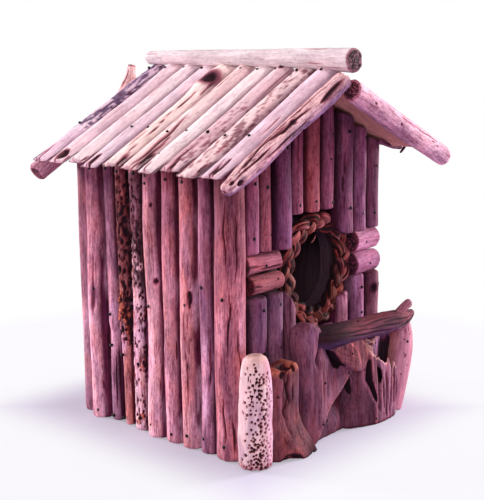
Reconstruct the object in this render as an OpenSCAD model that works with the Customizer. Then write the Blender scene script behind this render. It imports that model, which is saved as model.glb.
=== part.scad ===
// Driftwood birdhouse: a plain hollow box clad in round driftwood sticks, with a
// pitched roof of sticks, a braided ring around its entrance hole, a perch branch
// and weathered blocks along the foot of its front wall.
// Millimetres, +Z up. The origin is on the ground at the middle of the box.
// The front wall faces -Y and the ridge runs along Y.

/* [Box] */
// Width of the plain box inside the sticks, across the front
box_w = 123; // [104:1:148]
// Depth of the plain box, from the front board to the back board
box_d = 126; // [106:1:152]
// Thickness of the floor and wall boards
board_t = 8; // [6:0.5:10]
// Thickness of the two thin boards under the roof sticks
roof_board_t = 4; // [3:0.5:6]

/* [Roof] */
// Height of the plane under the roof sticks at the ridge
deck_h = 240.5; // [200:0.5:280]
// Pitch of the roof
roof_pitch = 29; // [24:1:34]
// Distance from the ridge line to the eave ends of the roof sticks
eave_reach = 111; // [100:1:130]
// The same distance for the right slope's sticks, which stop short of their rake
right_eave_reach = 93; // [88:1:126]
// How far the roof sticks run out in front of the box
front_overhang = 37.5; // [30:0.5:48]
// How far the roof sticks run out behind the box
back_overhang = 13; // [8:0.5:20]
// Thickness of the roof sticks, which are flat underneath
roof_stick_t = 6.2; // [5:0.2:10]
// Diameter of the front rake sticks
rake_d = 16.4; // [13:0.2:19]
// Diameter of the back rake sticks
back_rake_d = 13; // [10:0.2:15]
// Height of the ridge log's axis above the upper corners of the roof sticks
ridge_seat = 3.7; // [3.2:0.1:5]
// Diameter of the ridge log at its front end
ridge_d = 15; // [13:0.2:18]
// Diameter of the ridge log at its back end
ridge_back_d = 11.4; // [9:0.2:13]

/* [Sticks] */
// Diameter of the tall stick on the front left corner
corner_d = 19; // [15:0.5:22]
// Share of its diameter that each stick loses towards its thin end
taper = 0.05; // [0:0.01:0.1]
// Rounding of the stick ends
end_round = 1.6; // [0.5:0.1:2.5]

/* [Entrance] */
// Distance of the entrance from the middle of the front, to the right
hole_x = 13; // [-10:0.5:15]
// Height of the middle of the entrance
hole_z = 111; // [100:1:120]
// Width of the hole in the front board
hole_w = 50; // [40:0.5:54]
// Height of the hole in the front board
hole_h = 58; // [46:0.5:66]
// Width of the opening in the braided ring
ring_open_w = 45; // [38:0.5:48]
// Height of the opening in the braided ring
ring_open_h = 53; // [44:0.5:60]
// Thickness of the braid
braid_d = 13; // [10:0.2:15]
// Height of the seam between the short logs beside the ring
log_seam_z = 116.5; // [105:0.5:122]
// Diameter of the two short logs left of the ring
left_log_d = 13.2; // [11:0.2:16]
// Diameter of the two short logs right of the ring
right_log_d = 15; // [12:0.2:16]

/* [Perch and blocks] */
// Diameter of the perch branch at its thick end
perch_d = 15; // [11:0.2:17]
// Height of the perch branch above the ground at its thick end
perch_z = 67; // [62:0.5:74]
// Length of the perch branch
perch_len = 96; // [70:1:100]
// Height of the pale worm-holed block
pale_h = 74; // [60:1:86]
// Diameter of the pale worm-holed block
pale_d = 21.5; // [18:0.5:24]
// Height of the flared block
flared_h = 61; // [50:1:72]
// Height of the tall lobe of the forked block
forked_h = 83; // [72:1:92]
// Height of the leaning upright block
upright_h = 66; // [54:1:76]

/* [Hidden] */

$fn = 48;
// Facets round the blended shapes
hull_fn = 24;
// Clearance between neighbouring pieces
gap = 0.3;
// Larger than anything here, for cutting
far = 600;

// Stick diameters, as they were picked, from the front to the back or left to right.
side_picks = [14.8, 16.2, 16.6, 17.2, 14.8, 14.7, 13.7, 16.5];
back_picks = [15, 14.5, 16.6, 15.5, 14, 16.5, 15, 14.5, 16, 15];
upper_picks = [13.6, 12.7, 16.5, 13.8, 15.5, 14.9, 18.2, 16.4, 15.1];
lower_picks = [17.7, 16.1, 14.6, 13.5, 13, 13.2, 14.5, 16, 17];
roof_picks = [17.5, 17.5, 16, 15.5, 17, 18.5, 15, 16.5, 18, 16];

function total(v, n) = n < 0 ? 0 : v[n] + total(v, n - 1);
// Diameters scaled so that a row of them fills a length, with a gap between each pair
function fitted(v, length) = v * ((length - gap * (len(v) - 1)) / total(v, len(v) - 1));
// Centre of stick i along its row
function along(v, i) = total(v, i - 1) + gap * i + v[i] / 2;

// The corner stick stands diagonally off the corner of the box.
corner_step = (corner_d / 2 + gap) / sqrt(2);
corner_x = -(box_w / 2 + corner_step);
corner_y = -(box_d / 2 + corner_step);

// Side rows run from the corner stick to the back face of the box.
left_row_y = corner_y + corner_d / 2 + gap;
side_ds = fitted(side_picks, box_d / 2 - left_row_y);
right_row_y = -box_d / 2 + gap;
right_ds = fitted(side_picks, box_d / 2 - right_row_y);
side_layer = gap + max(max(side_ds), max(right_ds));

// Front and back rows end flush with the outside of the right wall.
row_right_x = box_w / 2 + side_layer;
front_row_x = corner_x + corner_d / 2 + gap;
upper_ds = fitted(upper_picks, row_right_x - front_row_x);
lower_ds = fitted(lower_picks, row_right_x - front_row_x);
// The back row covers part of the end of the left wall row.
back_lap = 11;
back_row_x = -(box_w / 2 + back_lap);
back_ds = fitted(back_picks, row_right_x - back_row_x);
// Thickest stick on the left (-1) or right (1) half of the back wall
function back_layer(side) = gap + max([
    for (i = [0 : len(back_ds) - 1])
        if (side * (back_row_x + along(back_ds, i)) > -back_ds[i]) back_ds[i]
]);

roof_row_y = -(box_d / 2 + front_overhang);
roof_ds = fitted(roof_picks, box_d + front_overhang + back_overhang);
slope = tan(roof_pitch);
rise = 1 / cos(roof_pitch);

// The ridge log lies in the notch between the upper ends of the roof sticks.
ridge_z = deck_h + (roof_stick_t + gap) * cos(roof_pitch) + ridge_seat;
ridge_y0 = roof_row_y - 13;
ridge_y1 = box_d / 2 + back_overhang + 1;
ridge_len = ridge_y1 - ridge_y0;
function ridge_r(y) = (ridge_d + (ridge_back_d - ridge_d) * (y - ridge_y0) / ridge_len) / 2;
// Distance from the ridge line at which a roof stick's upper end touches the log.
// The corner of that end lies at (u + side, top - u * slope) and this solves for u.
function ridge_stop(y) =
    let(
        side = (roof_stick_t + gap) * sin(roof_pitch),
        top = -ridge_seat,
        reach = ridge_r(y) + gap,
        a = 1 + slope * slope,
        b = 2 * (side - top * slope),
        c = side * side + top * top - reach * reach,
        root = b * b - 4 * a * c
    )
    root > 0 ? max(gap, (sqrt(root) - b) / (2 * a)) : gap;

// Outer size of the ring and the hole cut for it through the front sticks
ring_w = ring_open_w + 2 * braid_d;
ring_h = ring_open_h + 2 * braid_d;
ring_y = -(box_d / 2 + gap + braid_d / 2);
left_band_top = log_seam_z + left_log_d + 2 * gap;
left_band_bottom = log_seam_z - left_log_d - 2 * gap;
right_band_top = log_seam_z + right_log_d + 2 * gap;
right_band_bottom = log_seam_z - right_log_d - 2 * gap;
// Sticks this near the middle of the ring stop square above or below it.
square_reach = ring_w * 0.35;

// Front sticks of the lower row that stand between x0 and x1, by their diameters
function behind(x0, x1) = [
    for (i = [0 : len(lower_ds) - 1])
        let(x = front_row_x + along(lower_ds, i), r = lower_ds[i] / 2)
            if (x + r > x0 && x - r < x1) lower_ds[i]
];
// Back of a block that stands from x0 to x1 against the thickest stick behind it
function block_back(x0, x1) = -(box_d / 2 + 2 * gap + max(behind(x0, x1)));

// ---------- shared shapes ----------

// A round stick from z = 0 up, with rounded ends
module stick(length, d0, d1) {
    rotate_extrude()
        polygon([
            [0, 0], [d0 / 2 - end_round, 0], [d0 / 2 - end_round * 0.3, end_round * 0.3],
            [d0 / 2, end_round], [d1 / 2, length - end_round],
            [d1 / 2 - end_round * 0.3, length - end_round * 0.3],
            [d1 / 2 - end_round, length], [0, length]
        ]);
}

// A stick that tapers up or down in turn
module turned_stick(length, d, i) {
    thin = d * (1 - taper);
    if (i % 2 == 0) stick(length, d, thin);
    else stick(length, thin, d);
}

// Everything under the roof, drop below the plane of the deck
module under_roof(drop) {
    top = deck_h - drop * rise;
    rotate([90, 0, 0])
        linear_extrude(far, center = true)
            polygon([[-far, -1], [far, -1], [far, top - far * slope], [0, top], [-far, top - far * slope]]);
}

// An upright oblong with round ends, through the front wall along Y
module oblong(w, h) {
    straight = h - w;
    translate([hole_x, 0, hole_z])
        rotate([90, 0, 0])
            linear_extrude(far)
                union() {
                    translate([0, straight / 2]) circle(d = w);
                    translate([0, -straight / 2]) circle(d = w);
                    translate([-w / 2, -straight / 2]) square([w, straight]);
                }
}

// Room for the ring in the front sticks and the short logs
module ring_room() {
    oblong(ring_w + 2 * gap, ring_h + 2 * gap);
}

// ---------- boards ----------

// How far the roof boards reach past the side wall sticks
roof_board_lap = 6;

module floor_board() {
    color("#8a5f5a")
        translate([-box_w / 2, -box_d / 2, 0])
            cube([box_w, box_d, board_t]);
}

module gable_board(y) {
    intersection() {
        translate([-box_w / 2, y, board_t + gap])
            cube([box_w, board_t, far]);
        under_roof(roof_board_t + gap);
    }
}

module front_board() {
    color("#7a4a5a")
        difference() {
            gable_board(-box_d / 2);
            oblong(hole_w, hole_h);
        }
}

module back_board() {
    color("#7a4a5a")
        gable_board(box_d / 2 - board_t);
}

module side_board(x) {
    room = board_t + gap;
    intersection() {
        translate([x, -box_d / 2 + room, room])
            cube([board_t, box_d - 2 * room, far]);
        under_roof(roof_board_t + gap);
    }
}

module left_board() {
    color("#7a4a5a") side_board(-box_w / 2);
}

module right_board() {
    color("#7a4a5a") side_board(box_w / 2 - board_t);
}

// One thin board under the roof sticks, out past the side wall sticks and the gables
module right_roof_board() {
    edge_x = row_right_x + roof_board_lap;
    top = deck_h - gap * slope;
    fall = (edge_x - gap) * slope;
    drop = roof_board_t * rise;
    y1 = box_d / 2 + back_overhang;
    color("#c07a6c")
        translate([0, y1, 0])
            rotate([90, 0, 0])
                linear_extrude(y1 - roof_row_y)
                    polygon([
                        [gap, top], [gap, top - drop],
                        [edge_x, top - fall - drop], [edge_x, top - fall]
                    ]);
}

module left_roof_board() {
    mirror([1, 0, 0]) right_roof_board();
}

// ---------- wall sticks ----------

// A row of upright sticks along one side wall; side is -1 for left and 1 for right
module side_row(ds, start_y, side) {
    intersection() {
        for (i = [0 : len(ds) - 1])
            translate([side * (box_w / 2 + gap + ds[i] / 2), start_y + along(ds, i), 0])
                turned_stick(deck_h, ds[i], i);
        under_roof(roof_board_t + gap);
    }
}

module left_wall_sticks() {
    color("#a06070") side_row(side_ds, left_row_y, -1);
}

module right_wall_sticks() {
    color("#a06070") side_row(right_ds, right_row_y, 1);
}

module back_wall_sticks() {
    color("#a06070")
        intersection() {
            for (i = [0 : len(back_ds) - 1])
                translate([back_row_x + along(back_ds, i), box_d / 2 + gap + back_ds[i] / 2, 0])
                    turned_stick(deck_h, back_ds[i], i);
            under_roof(roof_board_t + gap);
        }
}

module corner_stick() {
    color("#965a70")
        intersection() {
            translate([corner_x, corner_y, 0])
                stick(deck_h, corner_d, corner_d * (1 - taper));
            under_roof(roof_board_t + gap);
        }
}

// True for a stick that meets the ring near its middle
function meets_ring(x) = abs(x - hole_x) < square_reach;
function upper_start(x) =
    meets_ring(x) ? hole_z + ring_h / 2 + gap : x < hole_x ? left_band_top : right_band_top;
function lower_top(x) =
    meets_ring(x) ? hole_z - ring_h / 2 - gap : x < hole_x ? left_band_bottom : right_band_bottom;

// Front sticks first to last of the upper row, cut to the roof and to the ring
module upper_sticks(first, last) {
    difference() {
        intersection() {
            for (i = [first : last]) {
                x = front_row_x + along(upper_ds, i);
                translate([x, -(box_d / 2 + gap + upper_ds[i] / 2), upper_start(x)])
                    turned_stick(deck_h, upper_ds[i], i);
            }
            under_roof(roof_board_t + gap);
        }
        ring_room();
    }
}

// Front sticks first to last of the lower row
module lower_sticks(first, last) {
    difference() {
        for (i = [first : last]) {
            x = front_row_x + along(lower_ds, i);
            translate([x, -(box_d / 2 + gap + lower_ds[i] / 2), 0])
                turned_stick(lower_top(x), lower_ds[i], i);
        }
        ring_room();
    }
}

module front_upper_left_sticks() {
    color("#9a5575") upper_sticks(0, 2);
}

module front_upper_middle_sticks() {
    color("#b05c58") upper_sticks(3, 5);
}

module front_upper_right_sticks() {
    color("#7d4a6c") upper_sticks(6, 8);
}

module front_lower_left_sticks() {
    color("#8a4f70") lower_sticks(0, 2);
}

module front_lower_middle_sticks() {
    color("#8a4f70") lower_sticks(3, 5);
}

module front_lower_right_sticks() {
    color("#95586f") lower_sticks(6, 8);
}

// ---------- short logs beside the ring ----------

// A log that lies along X on the front board, from x0 to x1
module short_log(x0, x1, z, d) {
    difference() {
        translate([x0, -(box_d / 2 + gap + d / 2), z])
            rotate([0, 90, 0])
                stick(x1 - x0, d, d * (1 - taper));
        ring_room();
    }
}

left_log_end_x = hole_x - ring_w / 2 - gap;
right_log_end_x = hole_x + ring_w / 2 + gap;
// The lower left log starts further in than the upper one.
lower_log_step = 4;
// The right logs stop this far short of the wall's edge.
right_log_inset = 2;

module left_upper_log() {
    color("#c87f90")
        short_log(front_row_x, left_log_end_x, log_seam_z + gap + left_log_d / 2, left_log_d);
}

module left_lower_log() {
    color("#c87f90")
        short_log(front_row_x + lower_log_step, left_log_end_x,
            log_seam_z - gap - left_log_d / 2, left_log_d);
}

module right_upper_log() {
    color("#c680a5")
        short_log(right_log_end_x, row_right_x - right_log_inset,
            log_seam_z + gap + right_log_d / 2, right_log_d);
}

module right_lower_log() {
    color("#b876a0")
        short_log(right_log_end_x, row_right_x - right_log_inset / 2,
            log_seam_z - gap - right_log_d / 2, right_log_d);
}

// ---------- roof ----------

// Places a stick that lies up the right slope: its axis is height off the deck plane,
// and its ends are square to the plane at eave and at top from the ridge line.
module up_slope(eave, top, y, height, d0, d1) {
    length = (eave - top) * rise;
    translate([eave, y, deck_h - eave * slope])
        rotate([0, roof_pitch - 90, 0])
            translate([height, 0, 0])
                stick(length, d0, d1);
}

// Everything above the plane under the roof sticks
module above_deck() {
    top = deck_h + gap * rise;
    rotate([90, 0, 0])
        linear_extrude(far, center = true)
            polygon([[gap / 2, top], [far, top - far * slope], [far, far], [gap / 2, far]]);
}

// The roof sticks end a little short of the rakes and are ragged by a few millimetres.
eave_inset = 4;
function ragged(i) = 2 * sin(i * 137);

// The row of sticks on one slope; reach is how far its eave is from the ridge line.
module roof_row(reach) {
    intersection() {
        for (i = [0 : len(roof_ds) - 1]) {
            d = roof_ds[i];
            y = roof_row_y + along(roof_ds, i);
            up_slope(reach - eave_inset + ragged(i), ridge_stop(y), y,
                roof_stick_t + gap - d / 2, d, d * (1 - taper));
        }
        above_deck();
    }
}

module right_roof_sticks() {
    color("#f0dcdc") roof_row(right_eave_reach);
}

module left_roof_sticks() {
    color("#f0dcdc") mirror([1, 0, 0]) roof_row(eave_reach);
}

front_rake_y = roof_row_y - gap - rake_d / 2;
// Height of the left front rake's axis off the plane under the roof sticks
left_rake_lift = -0.1;
// It stops short of the ridge line.
left_rake_top = 4.5;
// The right front rake hangs lower, at a flatter pitch, as a fascia.
right_rake_pitch_drop = 3.5;
right_rake_d = rake_d - 1.8;
right_rake_top_x = 2.5;
right_rake_top_z = deck_h - 8.5;

module front_left_rake() {
    color("#c79aa0")
        mirror([1, 0, 0])
            up_slope(eave_reach - 1.5, left_rake_top, front_rake_y,
                left_rake_lift, rake_d, rake_d * (1 - taper));
}

module front_right_rake() {
    pitch = roof_pitch - right_rake_pitch_drop;
    color("#b5708a")
        translate([right_rake_top_x, roof_row_y - gap - right_rake_d / 2, right_rake_top_z])
            rotate([0, 90 + pitch, 0])
                stick((eave_reach - right_rake_top_x) / cos(pitch), right_rake_d * (1 - taper), right_rake_d);
}

function back_rake_y(side) = box_d / 2 + back_layer(side) + gap + back_rake_d / 2;
back_rake_eave = eave_reach - 8;
back_rake_top = 9;
// Drop of the back rakes' axes under the plane under the roof sticks
back_rake_drop = 10.6;
// A broken twig stands on the back left rake, just off the ridge.
twig_x = 9;
twig_h = 20;
twig_base_d = 11;
twig_top_d = 6;

module back_rake(side) {
    up_slope(back_rake_eave, back_rake_top, back_rake_y(side), -back_rake_drop,
        back_rake_d, back_rake_d * (1 - taper));
}

module back_right_rake() {
    color("#c79aa0") back_rake(1);
}

module back_left_rake() {
    rake_axis_z = deck_h - twig_x * slope - back_rake_drop * rise;
    color("#c79aa0")
        union() {
            mirror([1, 0, 0]) back_rake(-1);
            translate([-twig_x, back_rake_y(-1), rake_axis_z + 3])
                cylinder(h = twig_h, d1 = twig_base_d, d2 = twig_top_d);
        }
}

// Lies along Y on the upper ends of the roof sticks
module ridge_log() {
    color("#f2dede")
        translate([0, ridge_y0, ridge_z])
            rotate([-90, 0, 0])
                stick(ridge_len, ridge_d, ridge_back_d);
}

// ---------- braided ring ----------

// Half of the ring's bend, and one straight side of it
module ring_bend(z, turn) {
    translate([hole_x, ring_y, z])
        rotate([90, turn, 0])
            rotate_extrude(angle = 180)
                translate([(ring_open_w + braid_d) / 2, 0])
                    circle(d = braid_d);
}

module ring_side(side) {
    straight = ring_open_h - ring_open_w;
    translate([hole_x + side * (ring_open_w + braid_d) / 2, ring_y, hole_z - straight / 2])
        cylinder(h = straight, d = braid_d);
}

module braid_ring() {
    straight = ring_open_h - ring_open_w;
    color("#80503f")
        union() {
            ring_bend(hole_z + straight / 2, 0);
            ring_bend(hole_z - straight / 2, 180);
            ring_side(-1);
            ring_side(1);
        }
}

// ---------- perch and blocks ----------

// The blocks follow each other to the right of the pale one, which hides the corner stick.
pale_x = corner_x;
pale_y = corner_y - corner_d / 2 - gap - pale_d / 2;
flared_x0 = pale_x + pale_d / 2 + gap;
flared_x1 = flared_x0 + 31;
forked_x0 = flared_x1 + gap;
forked_x1 = forked_x0 + 51;
gouged_x0 = forked_x1 + gap;
gouged_x1 = gouged_x0 + 44;
upright_d = 17;
upright_foot_d = 12.5;
upright_x = gouged_x1 + gap + upright_foot_d / 2;
// Lean of the upright block to the right over its height
upright_lean = 14;

// Width of the forked block's tall lobe at the height of the perch
lobe_w = 25.5;
forked_back = block_back(forked_x0, forked_x1);

// The branch starts against the lobe, comes forward and rises towards its thin end.
perch_mid_d = perch_d * 0.9;
perch_tip_d = perch_d * 0.5;
perch_start = [forked_x0 + lobe_w + gap, forked_back - perch_d / 2 - 4, perch_z];
perch_middle = perch_start + [perch_len * 0.62, -5, 1];
perch_tip = perch_start + [perch_len - perch_tip_d, -9, 8];
perch_knob = perch_start + [perch_len * 0.84, -7, 12];
// Tops of the two blocks that carry it
arm_top = perch_z - perch_d / 2 - gap;
gouged_top = arm_top + 0.8;

module perch_branch() {
    color("#8a5560")
        union() {
            hull() {
                translate(perch_start)
                    rotate([0, 90, 0])
                        cylinder(h = 1, d = perch_d, $fn = hull_fn);
                translate(perch_middle) sphere(d = perch_mid_d, $fn = hull_fn);
            }
            hull() {
                translate(perch_middle) sphere(d = perch_mid_d, $fn = hull_fn);
                translate(perch_tip) sphere(d = perch_tip_d, $fn = hull_fn);
            }
            hull() {
                translate(perch_knob) sphere(d = perch_tip_d, $fn = hull_fn);
                translate(perch_knob - [9, 0, 9]) sphere(d = perch_tip_d, $fn = hull_fn);
            }
        }
}

module pale_block() {
    color("#ebc8d0")
        translate([pale_x, pale_y, 0])
            rotate_extrude()
                polygon([
                    [0, 0], [pale_d * 0.42, 0], [pale_d * 0.48, 4], [pale_d / 2, pale_h * 0.3],
                    [pale_d * 0.49, pale_h * 0.6], [pale_d * 0.44, pale_h * 0.82],
                    [pale_d * 0.38, pale_h * 0.93], [pale_d * 0.3, pale_h * 0.98], [0, pale_h]
                ]);
}

// A layer of a block from x0 to x1: its back is flat against back_y and its ends are round.
module layer(x0, x1, back_y, depth, z, h) {
    r = depth / 2;
    for (x = [x0 + r, x1 - r])
        translate([x, back_y - r, z])
            cylinder(h = h, r = r, $fn = hull_fn);
}

module flared_block() {
    back = block_back(flared_x0, flared_x1);
    // The foot runs out to a toe in front of the next block.
    toe_r = 3.5;
    toe_reach = 4;
    waist_x1 = flared_x1 - 3;
    foot_depth = 22;
    waist_depth = 14;
    top_depth = 15;
    color("#8f5348")
        union() {
            hull() {
                layer(flared_x0, flared_x1, back, foot_depth, 0, 3);
                layer(flared_x0, waist_x1, back, waist_depth, flared_h * 0.5, 1);
            }
            hull() {
                layer(flared_x0, waist_x1, back, waist_depth, flared_h * 0.5, 1);
                layer(flared_x0, waist_x1, back, top_depth, flared_h - 1, 1);
            }
            hull() {
                translate([flared_x1 + toe_reach - toe_r, back - foot_depth - 1, 0])
                    cylinder(h = 6, r = toe_r, $fn = hull_fn);
                layer(flared_x0 + 12, flared_x1, back, foot_depth, 0, 14);
            }
        }
}

module forked_block() {
    depth = 17;
    shoulder_z = arm_top - 24;
    arm_w = 23;
    color("#7d4a5c")
        union() {
            hull() {
                layer(forked_x0, forked_x0 + lobe_w - 4, forked_back, depth, forked_h - 5, 5);
                layer(forked_x0, forked_x0 + lobe_w + 4, forked_back, depth, shoulder_z, 5);
            }
            hull() {
                layer(forked_x0 + 4, forked_x1, forked_back, depth, 0, 3);
                layer(forked_x0, forked_x1, forked_back, depth, shoulder_z, 4);
            }
            hull() {
                layer(forked_x0 + lobe_w, forked_x1, forked_back, depth, shoulder_z, 3);
                layer(forked_x1 - arm_w, forked_x1, forked_back, depth, arm_top - 4, 4);
            }
        }
}

module gouged_block() {
    back = block_back(gouged_x0, gouged_x1);
    foot_depth = 22;
    top_depth = 17;
    color("#84506a")
        hull() {
            layer(gouged_x0, gouged_x1, back, foot_depth, 0, gouged_top * 0.5);
            layer(gouged_x0 + 2, gouged_x1 - 6, back, top_depth, gouged_top - 3, 3);
        }
}

module upright_block() {
    back = block_back(upright_x - upright_foot_d / 2, row_right_x);
    head_r = upright_d * 0.36;
    color("#d59a98")
        hull() {
            translate([upright_x, back - upright_foot_d / 2, 0])
                cylinder(h = 2, d = upright_foot_d, $fn = hull_fn);
            translate([upright_x + upright_lean * 0.75, back - upright_d / 2, upright_h * 0.62])
                sphere(d = upright_d, $fn = hull_fn);
            translate([upright_x + upright_lean, back - head_r, upright_h - head_r])
                sphere(r = head_r, $fn = hull_fn);
        }
}

floor_board();
front_board();
back_board();
left_board();
right_board();
left_roof_board();
right_roof_board();
left_wall_sticks();
right_wall_sticks();
back_wall_sticks();
corner_stick();
front_upper_left_sticks();
front_upper_middle_sticks();
front_upper_right_sticks();
front_lower_left_sticks();
front_lower_middle_sticks();
front_lower_right_sticks();
left_upper_log();
left_lower_log();
right_upper_log();
right_lower_log();
left_roof_sticks();
right_roof_sticks();
front_left_rake();
front_right_rake();
back_left_rake();
back_right_rake();
ridge_log();
braid_ring();
perch_branch();
pale_block();
flared_block();
forked_block();
gouged_block();
upright_block();
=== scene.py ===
import math

import bmesh
import bpy
import numpy as np
from mathutils import Matrix, Vector

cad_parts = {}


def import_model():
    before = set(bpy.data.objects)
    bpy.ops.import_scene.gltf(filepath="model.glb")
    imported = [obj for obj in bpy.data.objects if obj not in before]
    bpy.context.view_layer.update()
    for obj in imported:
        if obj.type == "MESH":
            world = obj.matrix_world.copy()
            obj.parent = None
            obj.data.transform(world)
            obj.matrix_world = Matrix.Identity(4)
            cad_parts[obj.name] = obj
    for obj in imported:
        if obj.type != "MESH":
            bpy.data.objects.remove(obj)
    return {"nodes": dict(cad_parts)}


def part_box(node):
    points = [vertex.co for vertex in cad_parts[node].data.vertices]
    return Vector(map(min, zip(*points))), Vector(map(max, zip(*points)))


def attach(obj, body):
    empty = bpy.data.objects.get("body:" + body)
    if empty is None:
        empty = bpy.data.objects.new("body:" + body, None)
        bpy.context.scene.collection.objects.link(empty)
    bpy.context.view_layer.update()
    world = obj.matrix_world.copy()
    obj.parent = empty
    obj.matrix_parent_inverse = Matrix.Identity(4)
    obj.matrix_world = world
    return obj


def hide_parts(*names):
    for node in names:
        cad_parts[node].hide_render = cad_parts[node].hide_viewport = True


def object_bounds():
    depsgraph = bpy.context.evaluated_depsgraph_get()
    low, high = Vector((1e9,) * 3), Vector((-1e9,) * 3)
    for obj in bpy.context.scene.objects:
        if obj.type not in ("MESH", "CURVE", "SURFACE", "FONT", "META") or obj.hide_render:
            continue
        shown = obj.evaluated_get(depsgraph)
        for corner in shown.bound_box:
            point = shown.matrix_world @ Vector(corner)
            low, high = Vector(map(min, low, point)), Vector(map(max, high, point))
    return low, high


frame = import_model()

cad_lo, cad_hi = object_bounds()

# Lengths below are millimetres; put() turns them into metres.
MM = 0.001
# What put() keeps its points inside the CAD box by, in metres.
EDGE = np.array([0.00001, 0.00001, 0.00002])
LOWEST = 0.03  # of the carved blocks' points, above the floor


# ---------- numbers and noise ----------

def unit(v):
    """Vectors scaled to length 1"""
    v = np.asarray(v, float)
    return v / np.linalg.norm(v, axis=-1, keepdims=True)


def ease(lo, hi, x):
    """0 below lo, 1 above hi, smooth between"""
    t = np.clip((np.asarray(x, float) - lo) / (hi - lo), 0, 1)
    return t * t * (3 - 2 * t)


def mix(a, b, t):
    return a + (b - a) * t


def hump(u, width, v=0, height=1):
    """1 where u and v are 0, falling off over that width and height"""
    return np.exp(-(u / width) ** 2 - (v / height) ** 2)


def band(z, lo, hi, soft):
    """1 between lo and hi, easing to 0 towards both over a length soft"""
    return ease(lo, lo + soft, z) * ease(hi, hi - soft, z)


def lattice(i, j, k, seed):
    """A steady random number from -1 to 1 for each grid point"""
    n = (i * 374761393 + j * 668265263 + k * 1440662683 + seed * 1013904223) & 0xFFFFFFFF
    n = ((n ^ (n >> 15)) * 2246822519) & 0xFFFFFFFF
    n = ((n ^ (n >> 13)) * 3266489917) & 0xFFFFFFFF
    return ((n ^ (n >> 16)) & 0xFFFFFF) / float(0x7FFFFF) - 1


def noise(p, size, seed=0):
    """Smooth noise from -1 to 1 at points p, with blobs of that size in each direction"""
    q = np.asarray(p, float) / np.asarray(size, float)
    cell = np.floor(q).astype(np.int64)
    f = q - cell
    f = f * f * (3 - 2 * f)
    i, j, k = cell[..., 0], cell[..., 1], cell[..., 2]
    x, y, z = f[..., 0], f[..., 1], f[..., 2]
    total = 0
    for a in (0, 1):
        for b in (0, 1):
            for c in (0, 1):
                w = (x if a else 1 - x) * (y if b else 1 - y) * (z if c else 1 - z)
                total = total + w * lattice(i + a, j + b, k + c, seed)
    return total


def layered(p, size, seed=0, octaves=3):
    """Noise with finer and weaker layers added"""
    total, weight = 0, 0
    for n in range(octaves):
        w = 0.5 ** n
        total = total + w * noise(p, np.asarray(size, float) * w, seed + 17 * n)
        weight += w
    return total / weight


def tone(*c):
    """Linear colour of an sRGB colour given from 0 to 255"""
    c = np.asarray(c, float) / 255
    return np.where(c <= 0.04045, c / 12.92, ((c + 0.055) / 1.055) ** 2.4)


# ---------- reading the CAD frame ----------

def solids(node):
    """Corners, in millimetres, of each separate solid of a CAD node"""
    bm = bmesh.new()
    bm.from_mesh(frame["nodes"][node].data)
    bmesh.ops.remove_doubles(bm, verts=bm.verts, dist=1e-6)
    left, found = set(bm.verts), []
    while left:
        start = min(left, key=lambda v: v.index)
        left.discard(start)
        group, front = [start], [start]
        while front:
            v = front.pop()
            for e in v.link_edges:
                w = e.other_vert(v)
                if w in left:
                    left.discard(w)
                    group.append(w)
                    front.append(w)
        found.append(np.array([v.co[:] for v in group]) / MM)
    bm.free()
    return found


def in_rows(groups, direction):
    """The solids in their order along a direction"""
    return sorted(groups, key=lambda p: float(((p.min(0) + p.max(0)) / 2) @ np.asarray(direction, float)))


def span(node):
    lo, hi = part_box(node)
    return np.array(lo) / MM, np.array(hi) / MM


# ---------- meshes ----------

def put(name, parts, nodes, material):
    """One piece from parts, each a dict of points, quads and attributes; it stands for CAD nodes."""
    verts, faces, base = [], [], 0
    for p in parts:
        verts.append(p["co"])
        faces.append(p["faces"] + base)
        base += len(p["co"])
    co = np.clip(np.concatenate(verts) * MM, np.array(cad_lo) + EDGE, np.array(cad_hi) - EDGE)
    quads = np.concatenate(faces)
    mesh = bpy.data.meshes.new(name)
    mesh.vertices.add(len(co))
    mesh.vertices.foreach_set("co", co.astype(np.float32).ravel())
    tri = quads[:, 2] == quads[:, 3]
    sizes = np.where(tri, 3, 4)
    keep = np.ones(quads.shape, bool)
    keep[tri, 3] = False
    loops = quads[keep]
    mesh.loops.add(len(loops))
    mesh.loops.foreach_set("vertex_index", loops.astype(np.int32))
    mesh.polygons.add(len(quads))
    starts = np.concatenate([[0], np.cumsum(sizes)[:-1]])
    mesh.polygons.foreach_set("loop_start", starts.astype(np.int32))
    mesh.polygons.foreach_set("loop_total", sizes.astype(np.int32))
    mesh.polygons.foreach_set("use_smooth", np.ones(len(quads), bool))
    mesh.update(calc_edges=True)
    mesh.validate()
    for key, kind, field in (("grain", "FLOAT_VECTOR", "vector"), ("tint", "FLOAT_VECTOR", "vector"),
                             ("dark", "FLOAT", "value"), ("cut", "FLOAT", "value")):
        data = np.concatenate([p[key].reshape(len(p["co"]), -1) for p in parts])
        layer = mesh.attributes.new(key, kind, "POINT")
        layer.data.foreach_set(field, data.astype(np.float32).ravel())
    mesh.materials.append(material)
    obj = bpy.data.objects.new(name, mesh)
    bpy.context.scene.collection.objects.link(obj)
    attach(obj, "root")
    if nodes:
        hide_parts(*nodes)
    return obj


def curve_points(path, count):
    """Points and their share of the length on a smooth curve through the path's points"""
    path = np.asarray(path, float)
    if len(path) == 2:
        t = np.linspace(0, 1, count)[:, None]
        return path[0] * (1 - t) + path[1] * t
    ext = np.vstack([2 * path[0] - path[1], path, 2 * path[-1] - path[-2]])
    out = []
    for t in np.linspace(0, len(path) - 1, count):
        i = min(int(t), len(path) - 2)
        f = t - i
        a, b, c, d = ext[i:i + 4]
        out.append(0.5 * ((2 * b) + (c - a) * f + (2 * a - 5 * b + 4 * c - d) * f * f
                          + (3 * b - a - 3 * c + d) * f ** 3))
    return np.array(out)


def wrap(angle):
    """An angle brought between -pi and pi"""
    return (angle + math.pi) % (2 * math.pi) - math.pi


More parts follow.
